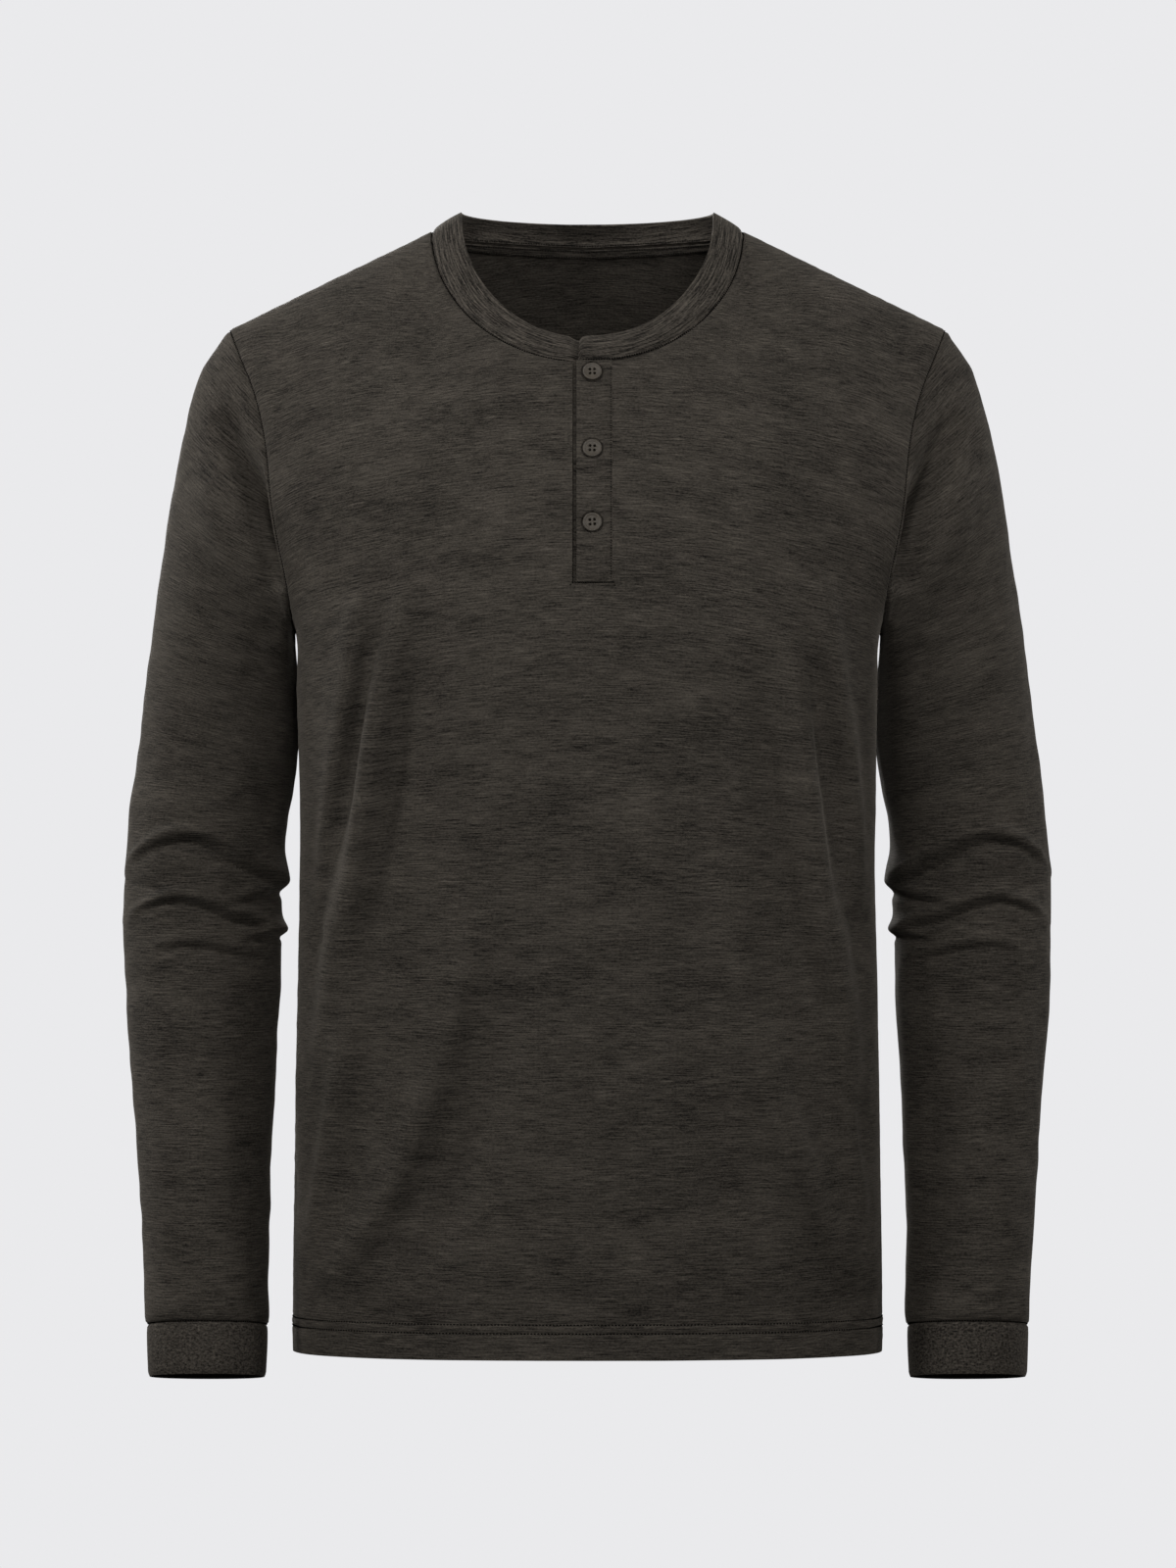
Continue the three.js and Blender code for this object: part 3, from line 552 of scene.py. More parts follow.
# A material being wired up
class Finish:
    def __init__(self, name):
        self.material = bpy.data.materials.new(name)
        self.material.use_nodes = True
        self.tree = self.material.node_tree
        self.tree.nodes.clear()
        self.shader = self.tree.nodes.new("ShaderNodeBsdfPrincipled")
        output = self.tree.nodes.new("ShaderNodeOutputMaterial")
        self.tree.links.new(self.shader.outputs[0], output.inputs[0])

    def node(self, kind, output=0, settings=(), **inputs):
        node = self.tree.nodes.new(kind)
        for key, value in dict(settings).items():
            setattr(node, key, value)
        for key, value in inputs.items():
            plug(self.tree, value, node.inputs[key.replace("_", " ")])
        return Wire(self.tree, node.outputs[output])

    def axes(self, vector):
        node = self.tree.nodes.new("ShaderNodeSeparateXYZ")
        plug(self.tree, vector, node.inputs[0])
        return [Wire(self.tree, socket) for socket in node.outputs]

    def vector(self, x, y, z):
        return self.node("ShaderNodeCombineXYZ", X=x, Y=y, Z=z)

    def noise(self, x, y, z=0.0, detail=1.0, rough=0.5):
        return self.node("ShaderNodeTexNoise", output="Fac", settings={"noise_dimensions": "3D"},
                         Vector=self.vector(x, y, z), Scale=1.0, Detail=detail, Roughness=rough)

    def tint(self, share, low, high):
        node = self.tree.nodes.new("ShaderNodeMix")
        node.data_type = "RGBA"
        plug(self.tree, share, node.inputs["Factor"])
        plug(self.tree, low, node.inputs[6])
        plug(self.tree, high, node.inputs[7])
        return Wire(self.tree, node.outputs[2])

    def brighten(self, colour, amount):
        node = self.tree.nodes.new("ShaderNodeVectorMath")
        node.operation = "SCALE"
        plug(self.tree, colour[:3], node.inputs[0])
        plug(self.tree, amount, node.inputs["Scale"])
        return Wire(self.tree, node.outputs[0])

    def set(self, **values):
        for key, value in values.items():
            plug(self.tree, value, self.shader.inputs[key.replace("_", " ")])
        return self

    def bump(self, height, distance, strength=1.0):
        normal = self.node("ShaderNodeBump", Height=height, Distance=distance, Strength=strength)
        return self.set(Normal=normal)


# A colour given in screen steps from 0 to 255
def linear(red, green, blue):
    steps = [value / 255 for value in (red, green, blue)]
    return tuple(s / 12.92 if s <= 0.04045 else ((s + 0.055) / 1.055) ** 2.4
                 for s in steps) + (1.0,)


# Slub jersey: short uneven light and dark streaks along the courses of the knit
knit = {"roughness": 0.9, "specular": 0.1, "sheen": 0.12, "sheenRoughness": 0.4,
        "sheenTint": (0.95, 0.86, 0.74, 1.0), "relief": 0.00025, "wander": 0.0011,
        "tone": (0.2, 2.6), "lightSlub": (0.6, 0.8), "darkSlub": (0.2, 0.4),
        "reliefShares": (0.6, 0.4, 0.3)}

# For each kind of mottling: how fine it is across and down, its seed, its detail and its
# roughness. The first three kinds count in lengths and widths of a streak, the others in metres.
mottling = {"streak": (1.0, 1.0, 1.0, 1.0, 0.4), "short": (2.3, 1.2, 29.0, 1.0, 0.5),
            "slub": (0.8, 0.6, 7.0, 1.0, 0.5), "waver": (40, 70, 3.0, 1.0, 0.5),
            "cloud": (24, 75, 11.0, 3.0, 0.6), "wide": (11, 26, 23.0, 2.0, 0.5),
            "grain": (600, 950, 17.0, 2.0, 0.7)}


def clothFinish(name, streak):
    made = Finish(name)

    def mottle(kind, across, down):
        finerAcross, finerDown, seed, detail, rough = mottling[kind]
        return made.noise(across * finerAcross, down * finerDown, seed, detail, rough)

    u, v = made.axes(made.node("ShaderNodeUVMap", settings={"uv_map": "cloth"}))[:2]
    v = v + mottle("waver", u, v) * knit["wander"]
    long, thin = u * (1000 / streak["length"]), v * (1000 / streak["width"])
    fineStreak, short, slub = [mottle(kind, long, thin) for kind in ("streak", "short", "slub")]
    cloud, wide, grain = [mottle(kind, u, v) for kind in ("cloud", "wide", "grain")]
    light = slub.eased(*knit["lightSlub"])
    dark = 1 - slub.eased(*knit["darkSlub"])
    level = (1 + (fineStreak - 0.5) * streak["contrast"] + (short - 0.5) * streak["short"]
             + light * streak["light"] - dark * streak["dark"] + (cloud - 0.5) * streak["cloud"]
             + (wide - 0.5) * streak["wide"] + (grain - 0.5) * streak["grain"])
    made.set(Base_Color=made.brighten(linear(*streak["colour"]), level.clamped(*knit["tone"])),
             Roughness=knit["roughness"], Specular_IOR_Level=knit["specular"],
             Sheen_Weight=knit["sheen"], Sheen_Roughness=knit["sheenRoughness"],
             Sheen_Tint=knit["sheenTint"])
    ofStreak, ofGrain, ofLight = knit["reliefShares"]
    made.bump(fineStreak * ofStreak + grain * ofGrain + light * ofLight, knit["relief"])
    return made.material


# Colour, streak length and width in millimetres, and how strongly each kind of mottling shows
jerseyStreak = {"colour": (56, 52, 46.8), "length": 16, "width": 0.75, "contrast": 2.0,
                "short": 1.7, "light": 0.65, "dark": 0.45, "cloud": 1.2, "wide": 0.85,
                "grain": 2.2}
bandStreak = {"colour": (55, 51, 46), "length": 22, "width": 0.9, "contrast": 3.6, "short": 2.4,
              "light": 0.2, "dark": 0.4, "cloud": 0.4, "wide": 0.3, "grain": 3.6}
cuffStreak = {"colour": (55, 51, 46), "length": 3.0, "width": 1.5, "contrast": 2.2, "short": 2.0,
              "light": 0.3, "dark": 0.3, "cloud": 0.9, "wide": 0.7, "grain": 3.4}
jersey = clothFinish("jersey", jerseyStreak)
jerseyBand = clothFinish("jersey_band", bandStreak)
cuffKnit = clothFinish("cuff_knit", cuffStreak)
print("materials made")


# Body panels
leftColumns = np.linspace(-1, columnAt(body["placketLeft"]), fine["half"] + 1)
middleColumns = np.linspace(columnAt(body["placketLeft"]), columnAt(body["placketRight"]),
                            fine["placket"] + 1)
rightColumns = np.linspace(columnAt(body["placketRight"]), 1, fine["half"] + 1)
neckShare = body["neckShare"]


# The columns with the nearest one moved on to the neck's corner
def withStop(columns, stop):
    moved = columns.copy()
    moved[np.argmin(abs(moved - stop))] = stop
    return moved


# The columns with more of them beside the armhole
def closerAtEnd(columns):
    steps = fine["besideArmhole"]
    return np.concatenate([columns[:-2], np.linspace(columns[-2], columns[-1], steps + 1)])


leftColumns = -closerAtEnd(-withStop(leftColumns, -neckShare)[::-1])[::-1]
rightColumns = closerAtEnd(withStop(rightColumns, neckShare))
frontColumns = np.concatenate([leftColumns, middleColumns[1:-1], rightColumns])
notchStart = len(leftColumns) - 1
notchEnd = notchStart + fine["placket"]
outerReach = rightColumns[rightColumns >= neckShare]
backNeck = np.linspace(-neckShare, neckShare, fine["neck"] + 1)
backColumns = -np.concatenate([-outerReach[:0:-1], backNeck, outerReach[1:]])
frontPoints = panelPoints("front", frontColumns, panelRows)
backPoints = panelPoints("back", backColumns, panelRows)
notchRow = fine["armhole"] * body["placketRows"]


def outsideNotch(row, column):
    return (row >= notchRow) | (column < notchStart) | (column >= notchEnd)


armpitRow = len(armholeFine) - 1
frontSheet = makeSheet("front_cloth", frontPoints, jerseyWall, keep=outsideNotch,
                       level=armpitRow, arch=bodyArch)
backSheet = makeSheet("back_cloth", backPoints, jerseyWall, level=armpitRow, arch=bodyArch)
underSheet = makeSheet("placket_under_cloth", frontPoints[:notchRow + 1, notchStart:notchEnd + 1],
                       jerseyWall)

# Neckband
band = {"topHalf": 79, "frontY": -72, "frontZ": -82.6, "backY": 51, "backZ": -2.4, "ease": 0.8,
        "side": 0.8, "sag": 1.6, "rows": 10, "corner": (0.2, 0.07, 0.015),
        "thickness": 1.6, "wall": 1.5, "crown": 0.9, "crownLean": 0.5,
        "lift": np.array([0, -0.89, 0.46]), "lapFade": (2, 44),
        "lapShares": np.linspace(0.13, 0.92, 12), "underShares": np.linspace(0.1, 0.88, 7),
        "seam": (1.5, 1.9), "underDrop": 3.0, "underEnd": (-10.5, -6.5), "waves": (61, 36, 0.12)}


def bandTop(face, x):
    share = np.clip(x / body["neckHalfWidth"], -1, 1)
    towards = math.sqrt(max(0, 1 - share * share))
    y, z = (band["frontY"], band["frontZ"]) if face == "front" else (band["backY"], band["backZ"])
    sag = towards if face == "front" else towards ** band["sag"]
    return np.array([band["topHalf"] * share, y * towards ** band["ease"],
                     mix(band["side"], z, sag)])


def bandPath():
    left, right = frontPoints[0, notchStart], frontPoints[0, notchEnd]
    path = [("front", mix(left, right, share)) for share in band["lapShares"]]
    path += [("front", frontPoints[0, k]) for k in range(notchEnd, len(frontColumns))
             if frontColumns[k] <= neckShare + 1e-9]
    path += [("back", backPoints[0, k]) for k in range(len(backColumns))
             if abs(backColumns[k]) <= neckShare + 1e-9][1:]
    path += [("front", frontPoints[0, k]) for k in range(notchStart + 1)
             if frontColumns[k] >= -neckShare - 1e-9][1:]
    path += [("front", mix(left, right, share)) for share in band["underShares"]]
    return path


def bandSheet():
    path = bandPath()
    feet, tops = [], []
    for place, (face, foot) in enumerate(path):
        lap = 0.0
        if place < len(path) / 2 and face == "front":
            lap = 1 - ease(foot[0] - body["placketRight"], *band["lapFade"])
        lift = band["lift"] * lap * (seamGap + band["thickness"])
        feet.append(foot + lift)
        tops.append(bandTop(face, foot[0]) + lift)
    feet, tops = np.array(feet), np.array(tops)
    for place, share in enumerate(band["corner"]):
        tops[place] = mix(tops[place], feet[place], share)
    out = unit(feet * np.array([1, 1, 0]))
    out = unit(out + np.array([0, 0, band["crownLean"]]))
    share = (np.arange(band["rows"] + 1) / band["rows"])[:, None, None]
    points = mix(tops[None], feet[None], share) + out[None] * band["crown"] * np.sin(pi * share)
    return makeSheet("neckband_cloth", points, band["wall"])


neckbandSheet = bandSheet()
sleevePoints = sleeveRings(sleeveSections + [cuffSections[0]], True)
cuffPoints = sleeveRings(cuffSections, False)
sleeveLeft = makeSheet("sleeve_left_cloth", mirrored(sleevePoints), jerseyWall, closed=True,
                       arch=sleeveArch)
sleeveRight = makeSheet("sleeve_right_cloth", turned(sleevePoints), jerseyWall, closed=True,
                        arch=sleeveArch)
cuffLeft = makeSheet("cuff_left_cloth", mirrored(cuffPoints), cuffWall, closed=True)
cuffRight = makeSheet("cuff_right_cloth", turned(cuffPoints), cuffWall, closed=True)
mainSheets = [frontSheet, backSheet, sleeveLeft, sleeveRight, cuffLeft, cuffRight, neckbandSheet,
              underSheet]
mitreSeams(mainSheets)

# Creases in the cloth, seen from the front: x, z of the line, then its rise and its spread
frontCreases = [
    ([(-138, -240), (-146, -300), (-154, -352), (-160, -405), (-166, -450)], 7.0, 7),
    ([(-108, -225), (-116, -262), (-128, -316), (-137, -376), (-145, -424), (-155, -478),
      (-165, -540)], 9.0, 8.5),
    ([(-96, -250), (-109, -318), (-118, -376), (-126, -430), (-137, -500)], -4.4, 9),
    ([(-127, -255), (-138, -320), (-147, -384), (-154, -440)], -4.4, 6),
    ([(-143, -465), (-150, -530), (-160, -590), (-171, -645)], 7.0, 7.5),
    ([(-129, -490), (-136, -550), (-147, -605), (-160, -655)], -3.8, 8),
    ([(-66, -430), (-84, -502), (-103, -573), (-134, -633), (-165, -670)], 10.5, 12),
    ([(-42, -480), (-60, -560), (-85, -620), (-116, -668)], -4.6, 12),
    ([(-88, -540), (-104, -610), (-128, -660)], -1.6, 8),
    ([(143, -228), (152, -300), (161, -360), (168, -440)], 6.4, 7),
    ([(122, -250), (129, -320), (140, -410), (154, -490), (167, -565)], 9.0, 8.5),
    ([(106, -270), (112, -350), (124, -430), (138, -505)], -4.2, 8.5),
    ([(137, -280), (144, -350), (154, -450)], -4.0, 6),
    ([(78, -400), (98, -500), (130, -600), (165, -665)], 10.5, 12),
    ([(56, -440), (72, -540), (100, -615), (130, -668)], -4.4, 12),
    ([(148, -495), (159, -570), (171, -640)], 5.6, 6.5),
    ([(118, -172), (133, -188), (146, -204)], -1.2, 5),
    ([(-150, -180), (-132, -200), (-118, -222)], -1.0, 6),
    ([(54, -655), (72, -661), (88, -655)], -1.3, 4),
    ([(-30, -640), (-10, -652), (12, -648)], 0.9, 7),
    ([(20, -300), (34, -380), (30, -470)], 1.0, 20),
    ([(-30, -330), (-38, -420), (-26, -520)], -1.0, 20)]
backCreases = [
    ([(-70, -60), (-30, -74), (20, -78), (64, -64)], 1.2, 9),
    ([(-150, -160), (-120, -215), (-104, -280)], 2.0, 9),
    ([(150, -160), (124, -220), (110, -290)], 2.0, 9),
    ([(-132, -250), (-136, -330), (-150, -420), (-160, -500)], 2.6, 8),
    ([(-116, -262), (-122, -340), (-134, -420), (-146, -500)], -2.2, 8),
    ([(128, -262), (136, -340), (148, -430), (160, -520)], 2.6, 8),
    ([(110, -280), (120, -360), (132, -440)], -2.2, 8),
    ([(-60, -420), (-78, -510), (-104, -600), (-130, -660)], 2.2, 13),
    ([(64, -440), (82, -530), (108, -610), (140, -668)], 2.2, 13),
    ([(-10, -380), (-18, -470), (-30, -580), (-40, -650)], 1.6, 16),
    ([(24, -430), (30, -520), (26, -620)], -1.4, 14),
    ([(-50, -300), (-10, -322), (40, -312)], 1.0, 14)]
sleeveCreases = [  # on the front of a sleeve, with x taken from the centre line outward
    ([(291, -414), (284, -402), (276, -393.5), (266, -387), (256, -384), (246, -383.5),
      (236, -385.5), (226, -390), (215, -397.5), (204, -405), (194, -413), (184, -423)], 4.6, 3.9),
    ([(287, -407), (279, -400), (269, -394.5), (258, -391.6), (248.6, -391.2), (239, -393.8),
      (229, -399.8), (217.5, -406.6), (205, -413.6), (194, -420)], -4.8, 2.3),
    ([(206, -400), (192, -408), (184, -415), (182, -428)], 3.0, 7),
    ([(202, -440), (192, -446), (184, -452), (182, -462)], 2.6, 6),
    ([(276, -399), (262, -402), (250, -404), (236, -409), (222, -415)], 2.2, 6.5),
    ([(289, -415), (272, -420), (256, -425), (246, -428)], -1.8, 3.2),
    ([(226, -430.5), (206.5, -428), (190, -423), (192, -424)], -3.6, 2.6),
    ([(216, -422), (202, -420), (186, -415)], 2.6, 3.4),
    ([(290, -445), (281, -435), (272, -428), (259, -423.2), (248, -422.8), (236, -426),
      (224, -430.5), (211, -436), (200, -442), (191, -448)], 4.3, 3.9),
    ([(284, -440), (276, -434), (268, -430.6), (258, -428.8), (248.6, -430), (234.5, -434.4),
      (223, -439.8), (211.4, -442.8), (198, -443.6)], -4.6, 2.3),
    ([(210, -449), (200, -446.5), (192, -447)], 2.4, 3.4),
    ([(216, -454.4), (202, -451), (188, -452)], -3.4, 2.3),
    ([(272, -458), (258, -451.5), (242, -450.5), (228, -453), (214, -456.8), (198, -463)],
     2.4, 3.8),
    ([(268, -461), (254.7, -457.2), (242, -457), (230, -459.6), (217.5, -462.6), (203, -464.8)],
     -3.0, 2.5),
    ([(262, -476), (240, -472), (218, -476), (204, -480)], 0.9, 6),
    ([(250, -486), (232, -490), (214, -497)], -0.8, 5),
    ([(270, -470), (262, -486), (258, -508)], -0.8, 7),
    ([(230, -124), (218, -148), (206, -172), (197, -200), (192, -236)], -20.0, 7.5),
    ([(240, -160), (228, -190), (214, -236)], 3.0, 12),
    ([(248, -150), (230, -190), (208, -232), (194, -262)], 1.8, 11),
    ([(262, -250), (240, -290), (216, -330)], 1.2, 14),
    ([(196, -236), (204, -272), (212, -312)], -1.6, 9),
    ([(214, -348), (204, -362), (196, -380)], -1.2, 6),
    ([(252, -560), (240, -600), (232, -640)], 1.0, 9),
    ([(212, -520), (216, -570), (214, -620)], -1.0, 8),
    ([(204, -668), (222, -677), (246, -675)], 1.0, 5),
    ([(272, -660), (258, -672), (240, -678)], -0.9, 4)]
sleeveBackCreases = [
    ([(286, -398), (262, -388), (238, -392), (212, -404), (192, -414)], 3.0, 6),
    ([(282, -409), (258, -400), (234, -405), (208, -416)], -3.2, 4),
    ([(284, -424), (260, -416), (236, -420), (210, -430)], 2.4, 5),
    ([(280, -436), (256, -430), (230, -434), (208, -441)], -2.6, 4),
    ([(274, -452), (250, -446), (224, -450)], 1.6, 5),
    ([(236, -130), (220, -176), (204, -222)], 1.8, 10),
    ([(256, -200), (238, -250), (216, -300)], -1.4, 11),
    ([(258, -540), (244, -590), (238, -640)], 1.0, 9)]


# Away from the creases: dips into the seams, slow and quick waves and puckers beside the seams
drape = {"seam": (1.0, 1.7), "cuffSeam": (0.45, 1.0), "bodyFade": (2, 26), "sleeveFade": (0.5, 7),
         "bodyWaves": ((75, 0.45), (22, 0.16)), "sleeveWaves": ((60, 0.4), (20, 0.16)),
         "pucker": 0.16, "puckerPlace": 4, "puckerReach": 3.5, "puckerSize": 9, "drop": 3.2,
         "frontTurn": (-0.45, 0.05), "backTurn": (-0.05, 0.45)}
depthShare = 0.6  # how much of the depth counts as width in the waves of the body


def waves(sheet, seed, size, height):
    x, y, z = sheet["at"].T
    sheet["height"] += height * ripple(x + depthShare * y, z, seed, size)


def pucker(sheet, far, seed):
    x, y, z = sheet["at"].T
    beside = np.exp(-((far - drape["puckerPlace"]) / drape["puckerReach"]) ** 2)
    sheet["height"] += drape["pucker"] * beside * ripple(x + y, z, seed, drape["puckerSize"])


def dressBody(sheet, creases, seed):
    far = seamDip(sheet, ("top", "left", "right"), *drape["seam"])
    x, y, z = sheet["at"].T
    height = creaseHeight(x, z, creases)
    for k, (size, rise) in enumerate(drape["bodyWaves"]):
        height += rise * ripple(x + depthShare * y, z, seed + k, size)
    sheet["height"] += ease(far, *drape["bodyFade"]) * height
    pucker(sheet, far, seed + 2)


def dressSleeve(sheet, seed):
    far = np.minimum(seamDip(sheet, ("top",), *drape["seam"]),
                     seamDip(sheet, ("bottom",), *drape["cuffSeam"]))
    x, y, z = sheet["at"].T
    angle = np.tile(ringAngles, sheet["rows"])
    if sheet["name"] == "sleeve_right_cloth":
        angle = np.tile(np.concatenate([ringAngles[:1], ringAngles[:0:-1]]), sheet["rows"])
    forward = np.sin(angle)
    height = ease(forward, *drape["frontTurn"]) * creaseHeight(
        abs(x), z + drape["drop"], sleeveCreases)
    height += ease(-forward, *drape["backTurn"]) * creaseHeight(
        abs(x), z + drape["drop"], sleeveBackCreases)
    for k, (size, rise) in enumerate(drape["sleeveWaves"]):
        height += rise * ripple(x + y, z, seed + k, size)
    sheet["height"] += ease(far, *drape["sleeveFade"]) * height
    pucker(sheet, far, seed + 2)


# The hem: two rows of stitches hold the fold, which stands out a little below them
hem = {"rows": (16.5, 22.0), "groove": 0.55, "reach": 1.2, "fold": 0.4, "step": 1.5,
       "waveAt": 19, "waveReach": 9, "wave": 0.13, "waveSize": 11, "waveSeed": 77}


def dressHem(sheet):
    up = edgeLengths(sheet)["bottom"]
    foldTop = hem["rows"][1]
    height = hem["fold"] * (1 - ease(up, foldTop - hem["step"], foldTop + hem["step"]))
    for level in hem["rows"]:
        height -= hem["groove"] * np.exp(-((up - level) / hem["reach"]) ** 2)
    x, y, z = sheet["at"].T
    near = np.exp(-((up - hem["waveAt"]) / hem["waveReach"]) ** 2)
    height += hem["wave"] * near * ripple(x + y, z, hem["waveSeed"], hem["waveSize"])
    sheet["height"] += height


dressBody(frontSheet, frontCreases, 4)
dressBody(backSheet, backCreases, 9)
dressHem(frontSheet)
dressHem(backSheet)
dressSleeve(sleeveLeft, 21)
dressSleeve(sleeveRight, 31)

cuff = {"seam": (0.4, 1.0), "edge": (0.9, 1.6), "waves": (40, 0.25)}
for cuffSheet, seed in ((cuffLeft, 41), (cuffRight, 51)):
    seamDip(cuffSheet, ("top",), *cuff["seam"])
    seamDip(cuffSheet, ("bottom",), *cuff["edge"])
    waves(cuffSheet, seed, *cuff["waves"])

# The neckband's under end dips behind its upper one
seamDip(neckbandSheet, ("bottom",), *band["seam"])
bandPlace = np.tile(np.arange(neckbandSheet["columns"]), neckbandSheet["rows"])
bandX, bandY = neckbandSheet["at"].T[:2]
underLap = (bandPlace > neckbandSheet["columns"] / 2) & (bandY < 0)
neckbandSheet["height"] -= band["underDrop"] * underLap * ease(bandX, *band["underEnd"])
waves(neckbandSheet, *band["waves"])

# Buttons: where they sit, the holes in them and how far each is turned, in degrees
button = {"levels": (-105, -153, -198.6), "x": 2.9, "hole": 0.86, "offset": 1.38,
          "sides": 56, "lift": -0.6, "turns": (2, -3, 4)}

# The upper placket lies on the under one. Its free edge and ends dip, and each button presses in.
upperStrip = {"lift": seamGap + 1.4, "free": 0.09, "over": 0.35, "depth": 1.3, "finer": 5,
              "freeEdge": (0.3, 1.1), "sewnEdge": (1.45, 3.4), "end": (1.2, 3), "deepest": 1.5,
              "waves": (0.12, 83, 24), "buttonHollow": (1.65, 6.2, 6.9)}
underStrip = {"dip": 3.0, "dipReach": 2.6, "dipStart": (-1, 0.5), "buttonHollow": (1.425, 6, 9.5)}
upperPoints = (underSheet["at"] + underSheet["facing"] * upperStrip["lift"]).reshape(
    underSheet["points"].shape)
across = np.linspace(0, 1, upperPoints.shape[1])[None, :, None]
upperPoints = mix(upperPoints[:, :1], upperPoints[:, -1:], upperStrip["free"]
                  + (1 - upperStrip["free"]) * across) + (
    upperPoints - mix(upperPoints[:, :1], upperPoints[:, -1:], across))
upperPoints[:, -1, 0] += upperStrip["over"]


# A grid with more rows and columns, laid evenly between the old ones
def refined(points, times):
    for axis in (0, 1):
        count = points.shape[axis]
        stops = np.linspace(0, count - 1, (count - 1) * times + 1)
        low = np.minimum(stops.astype(int), count - 2)
        share = (stops - low).reshape((-1, 1, 1) if axis == 0 else (1, -1, 1))
        points = mix(points.take(low, axis), points.take(low + 1, axis), share)
    return points


upperSheet = makeSheet("placket_upper_cloth", refined(upperPoints, upperStrip["finer"]),
                       upperStrip["depth"])
underLeft = edgeLengths(underSheet)["left"]
underSheet["height"] -= (underStrip["dip"] * np.exp(-(underLeft / underStrip["dipReach"]) ** 2)
                         * ease(underLeft, *underStrip["dipStart"]))
upperLengths = edgeLengths(upperSheet)
dips = [depth * np.exp(-(upperLengths[edge] / reach) ** 2)
        for edge, (depth, reach) in (("left", upperStrip["freeEdge"]),
                                     ("right", upperStrip["sewnEdge"]),
                                     ("bottom", upperStrip["end"]))]
upperSheet["height"] -= sum(dips).clip(0, upperStrip["deepest"])
rise, seed, size = upperStrip["waves"]
upperSheet["height"] += rise * ripple(*upperSheet["at"].T[[0, 2]], seed, size)
for level in button["levels"]:
    for sheet, (depth, near, far) in ((upperSheet, upperStrip["buttonHollow"]),
                                      (underSheet, underStrip["buttonHollow"])):
        away = np.hypot(sheet["at"][:, 0] - button["x"], sheet["at"][:, 2] - level)
        sheet["height"] -= depth * (1 - ease(away, near, far))

# The neck tape lies inside the back, under the seam
tape = {"start": 2, "width": 6.5, "depth": 0.9, "gap": 0.8, "endGap": 1, "rows": 6, "under": 1.2,
        "rowsRead": 20}


def tapePoints():
    columns = [k for k in range(len(backColumns)) if abs(backColumns[k]) <= neckShare + 1e-9]
    inner = backSheet["at"] - backSheet["facing"] * (
        tape["under"] * backSheet["stretch"])[:, None]
    read = tape["rowsRead"]
    facing = backSheet["facing"].reshape(backSheet["points"].shape)[:read]
    inner = inner.reshape(backSheet["points"].shape)[:read]
    stops = tape["start"] + tape["width"] * np.arange(tape["rows"] + 1) / tape["rows"]
    lines = []
    for k in columns:
        gap = tape["gap"] + tape["endGap"] * (abs(backColumns[k]) / neckShare) ** 2
        line = inner[:, k] - facing[:, k] * gap
        steps = np.linalg.norm(np.diff(backSheet["points"][:read, k], axis=0), axis=1)
        far = np.concatenate([[0], np.cumsum(steps)])
        lines.append(np.stack([np.interp(stops, far, line[:, axis]) for axis in range(3)], axis=1))
    return np.array(lines).transpose(1, 0, 2)


tapeSheet = makeSheet("neck_tape_cloth", tapePoints(), tape["depth"])
mainSheets += [upperSheet, tapeSheet]
print("sheets laid out")

standsFor = {
    "front_cloth": ("front_panel", "jersey"), "back_cloth": ("back_panel", "jersey"),
    "sleeve_left_cloth": ("sleeve_left", "jersey"), "sleeve_right_cloth": ("sleeve_right", "jersey"),
    "cuff_left_cloth": ("cuff_left", "cuff_knit"), "cuff_right_cloth": ("cuff_right", "cuff_knit"),
    "neckband_cloth": ("neckband", "jersey"), "placket_under_cloth": ("placket_under", "jersey"),
    "placket_upper_cloth": ("placket_upper", "jersey"), "neck_tape_cloth": ("neck_tape", "jersey")}
finishes = {"neckband": jerseyBand, "neck_tape": jerseyBand,
            "cuff_left": cuffKnit, "cuff_right": cuffKnit}
for sheet in mainSheets:
    node, slot = standsFor[sheet["name"]]
    piece = wallObject(sheet, finishes.get(node, jersey))
    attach(piece, "root")
    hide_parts(node)
print("cloth made")

# Buttons: a turned disc with four holes, on the middle of the upper placket. The profile lists
# radius and height, from the middle of the back round the rim to the middle of the front.
buttonProfile = [(0, 0), (4.5, 0), (5.3, 0.25), (5.75, 0.7), (5.85, 1.1), (5.8, 1.6),
                 (5.6, 1.95), (5.25, 2.12), (4.85, 2.08), (4.45, 1.86), (4.1, 1.66), (3.6, 1.58),
                 (0, 1.55)]


# Dark horn-like plastic with soft lighter clouds. A noise has how fine it is along each axis,
# then its detail and its roughness.
horn = {"cloud": (260, 260, 120, 3.0, 0.6), "fleck": (1100, 1100, 900, 2.0, 0.5),
        "edge": (0.35, 0.68), "dark": (66, 61, 54), "light": (74, 68, 60), "specular": 0.25,
        "roughness": 0.4, "ofCloud": 0.16, "ofFleck": 0.1, "range": (0.35, 0.65),
        "relief": 0.00004}
threadLook = {"twist": (2500, 2500, 2500, 1.0, 0.5), "ofTwist": 0.9, "least": 0.55,
              "range": (0.5, 1.5), "roughness": 0.9, "specular": 0.05}


def solidNoise(made, axes, finer):
    x, y, z = [axis * times for axis, times in zip(axes, finer)]
    return made.noise(x, y, z, *finer[3:])


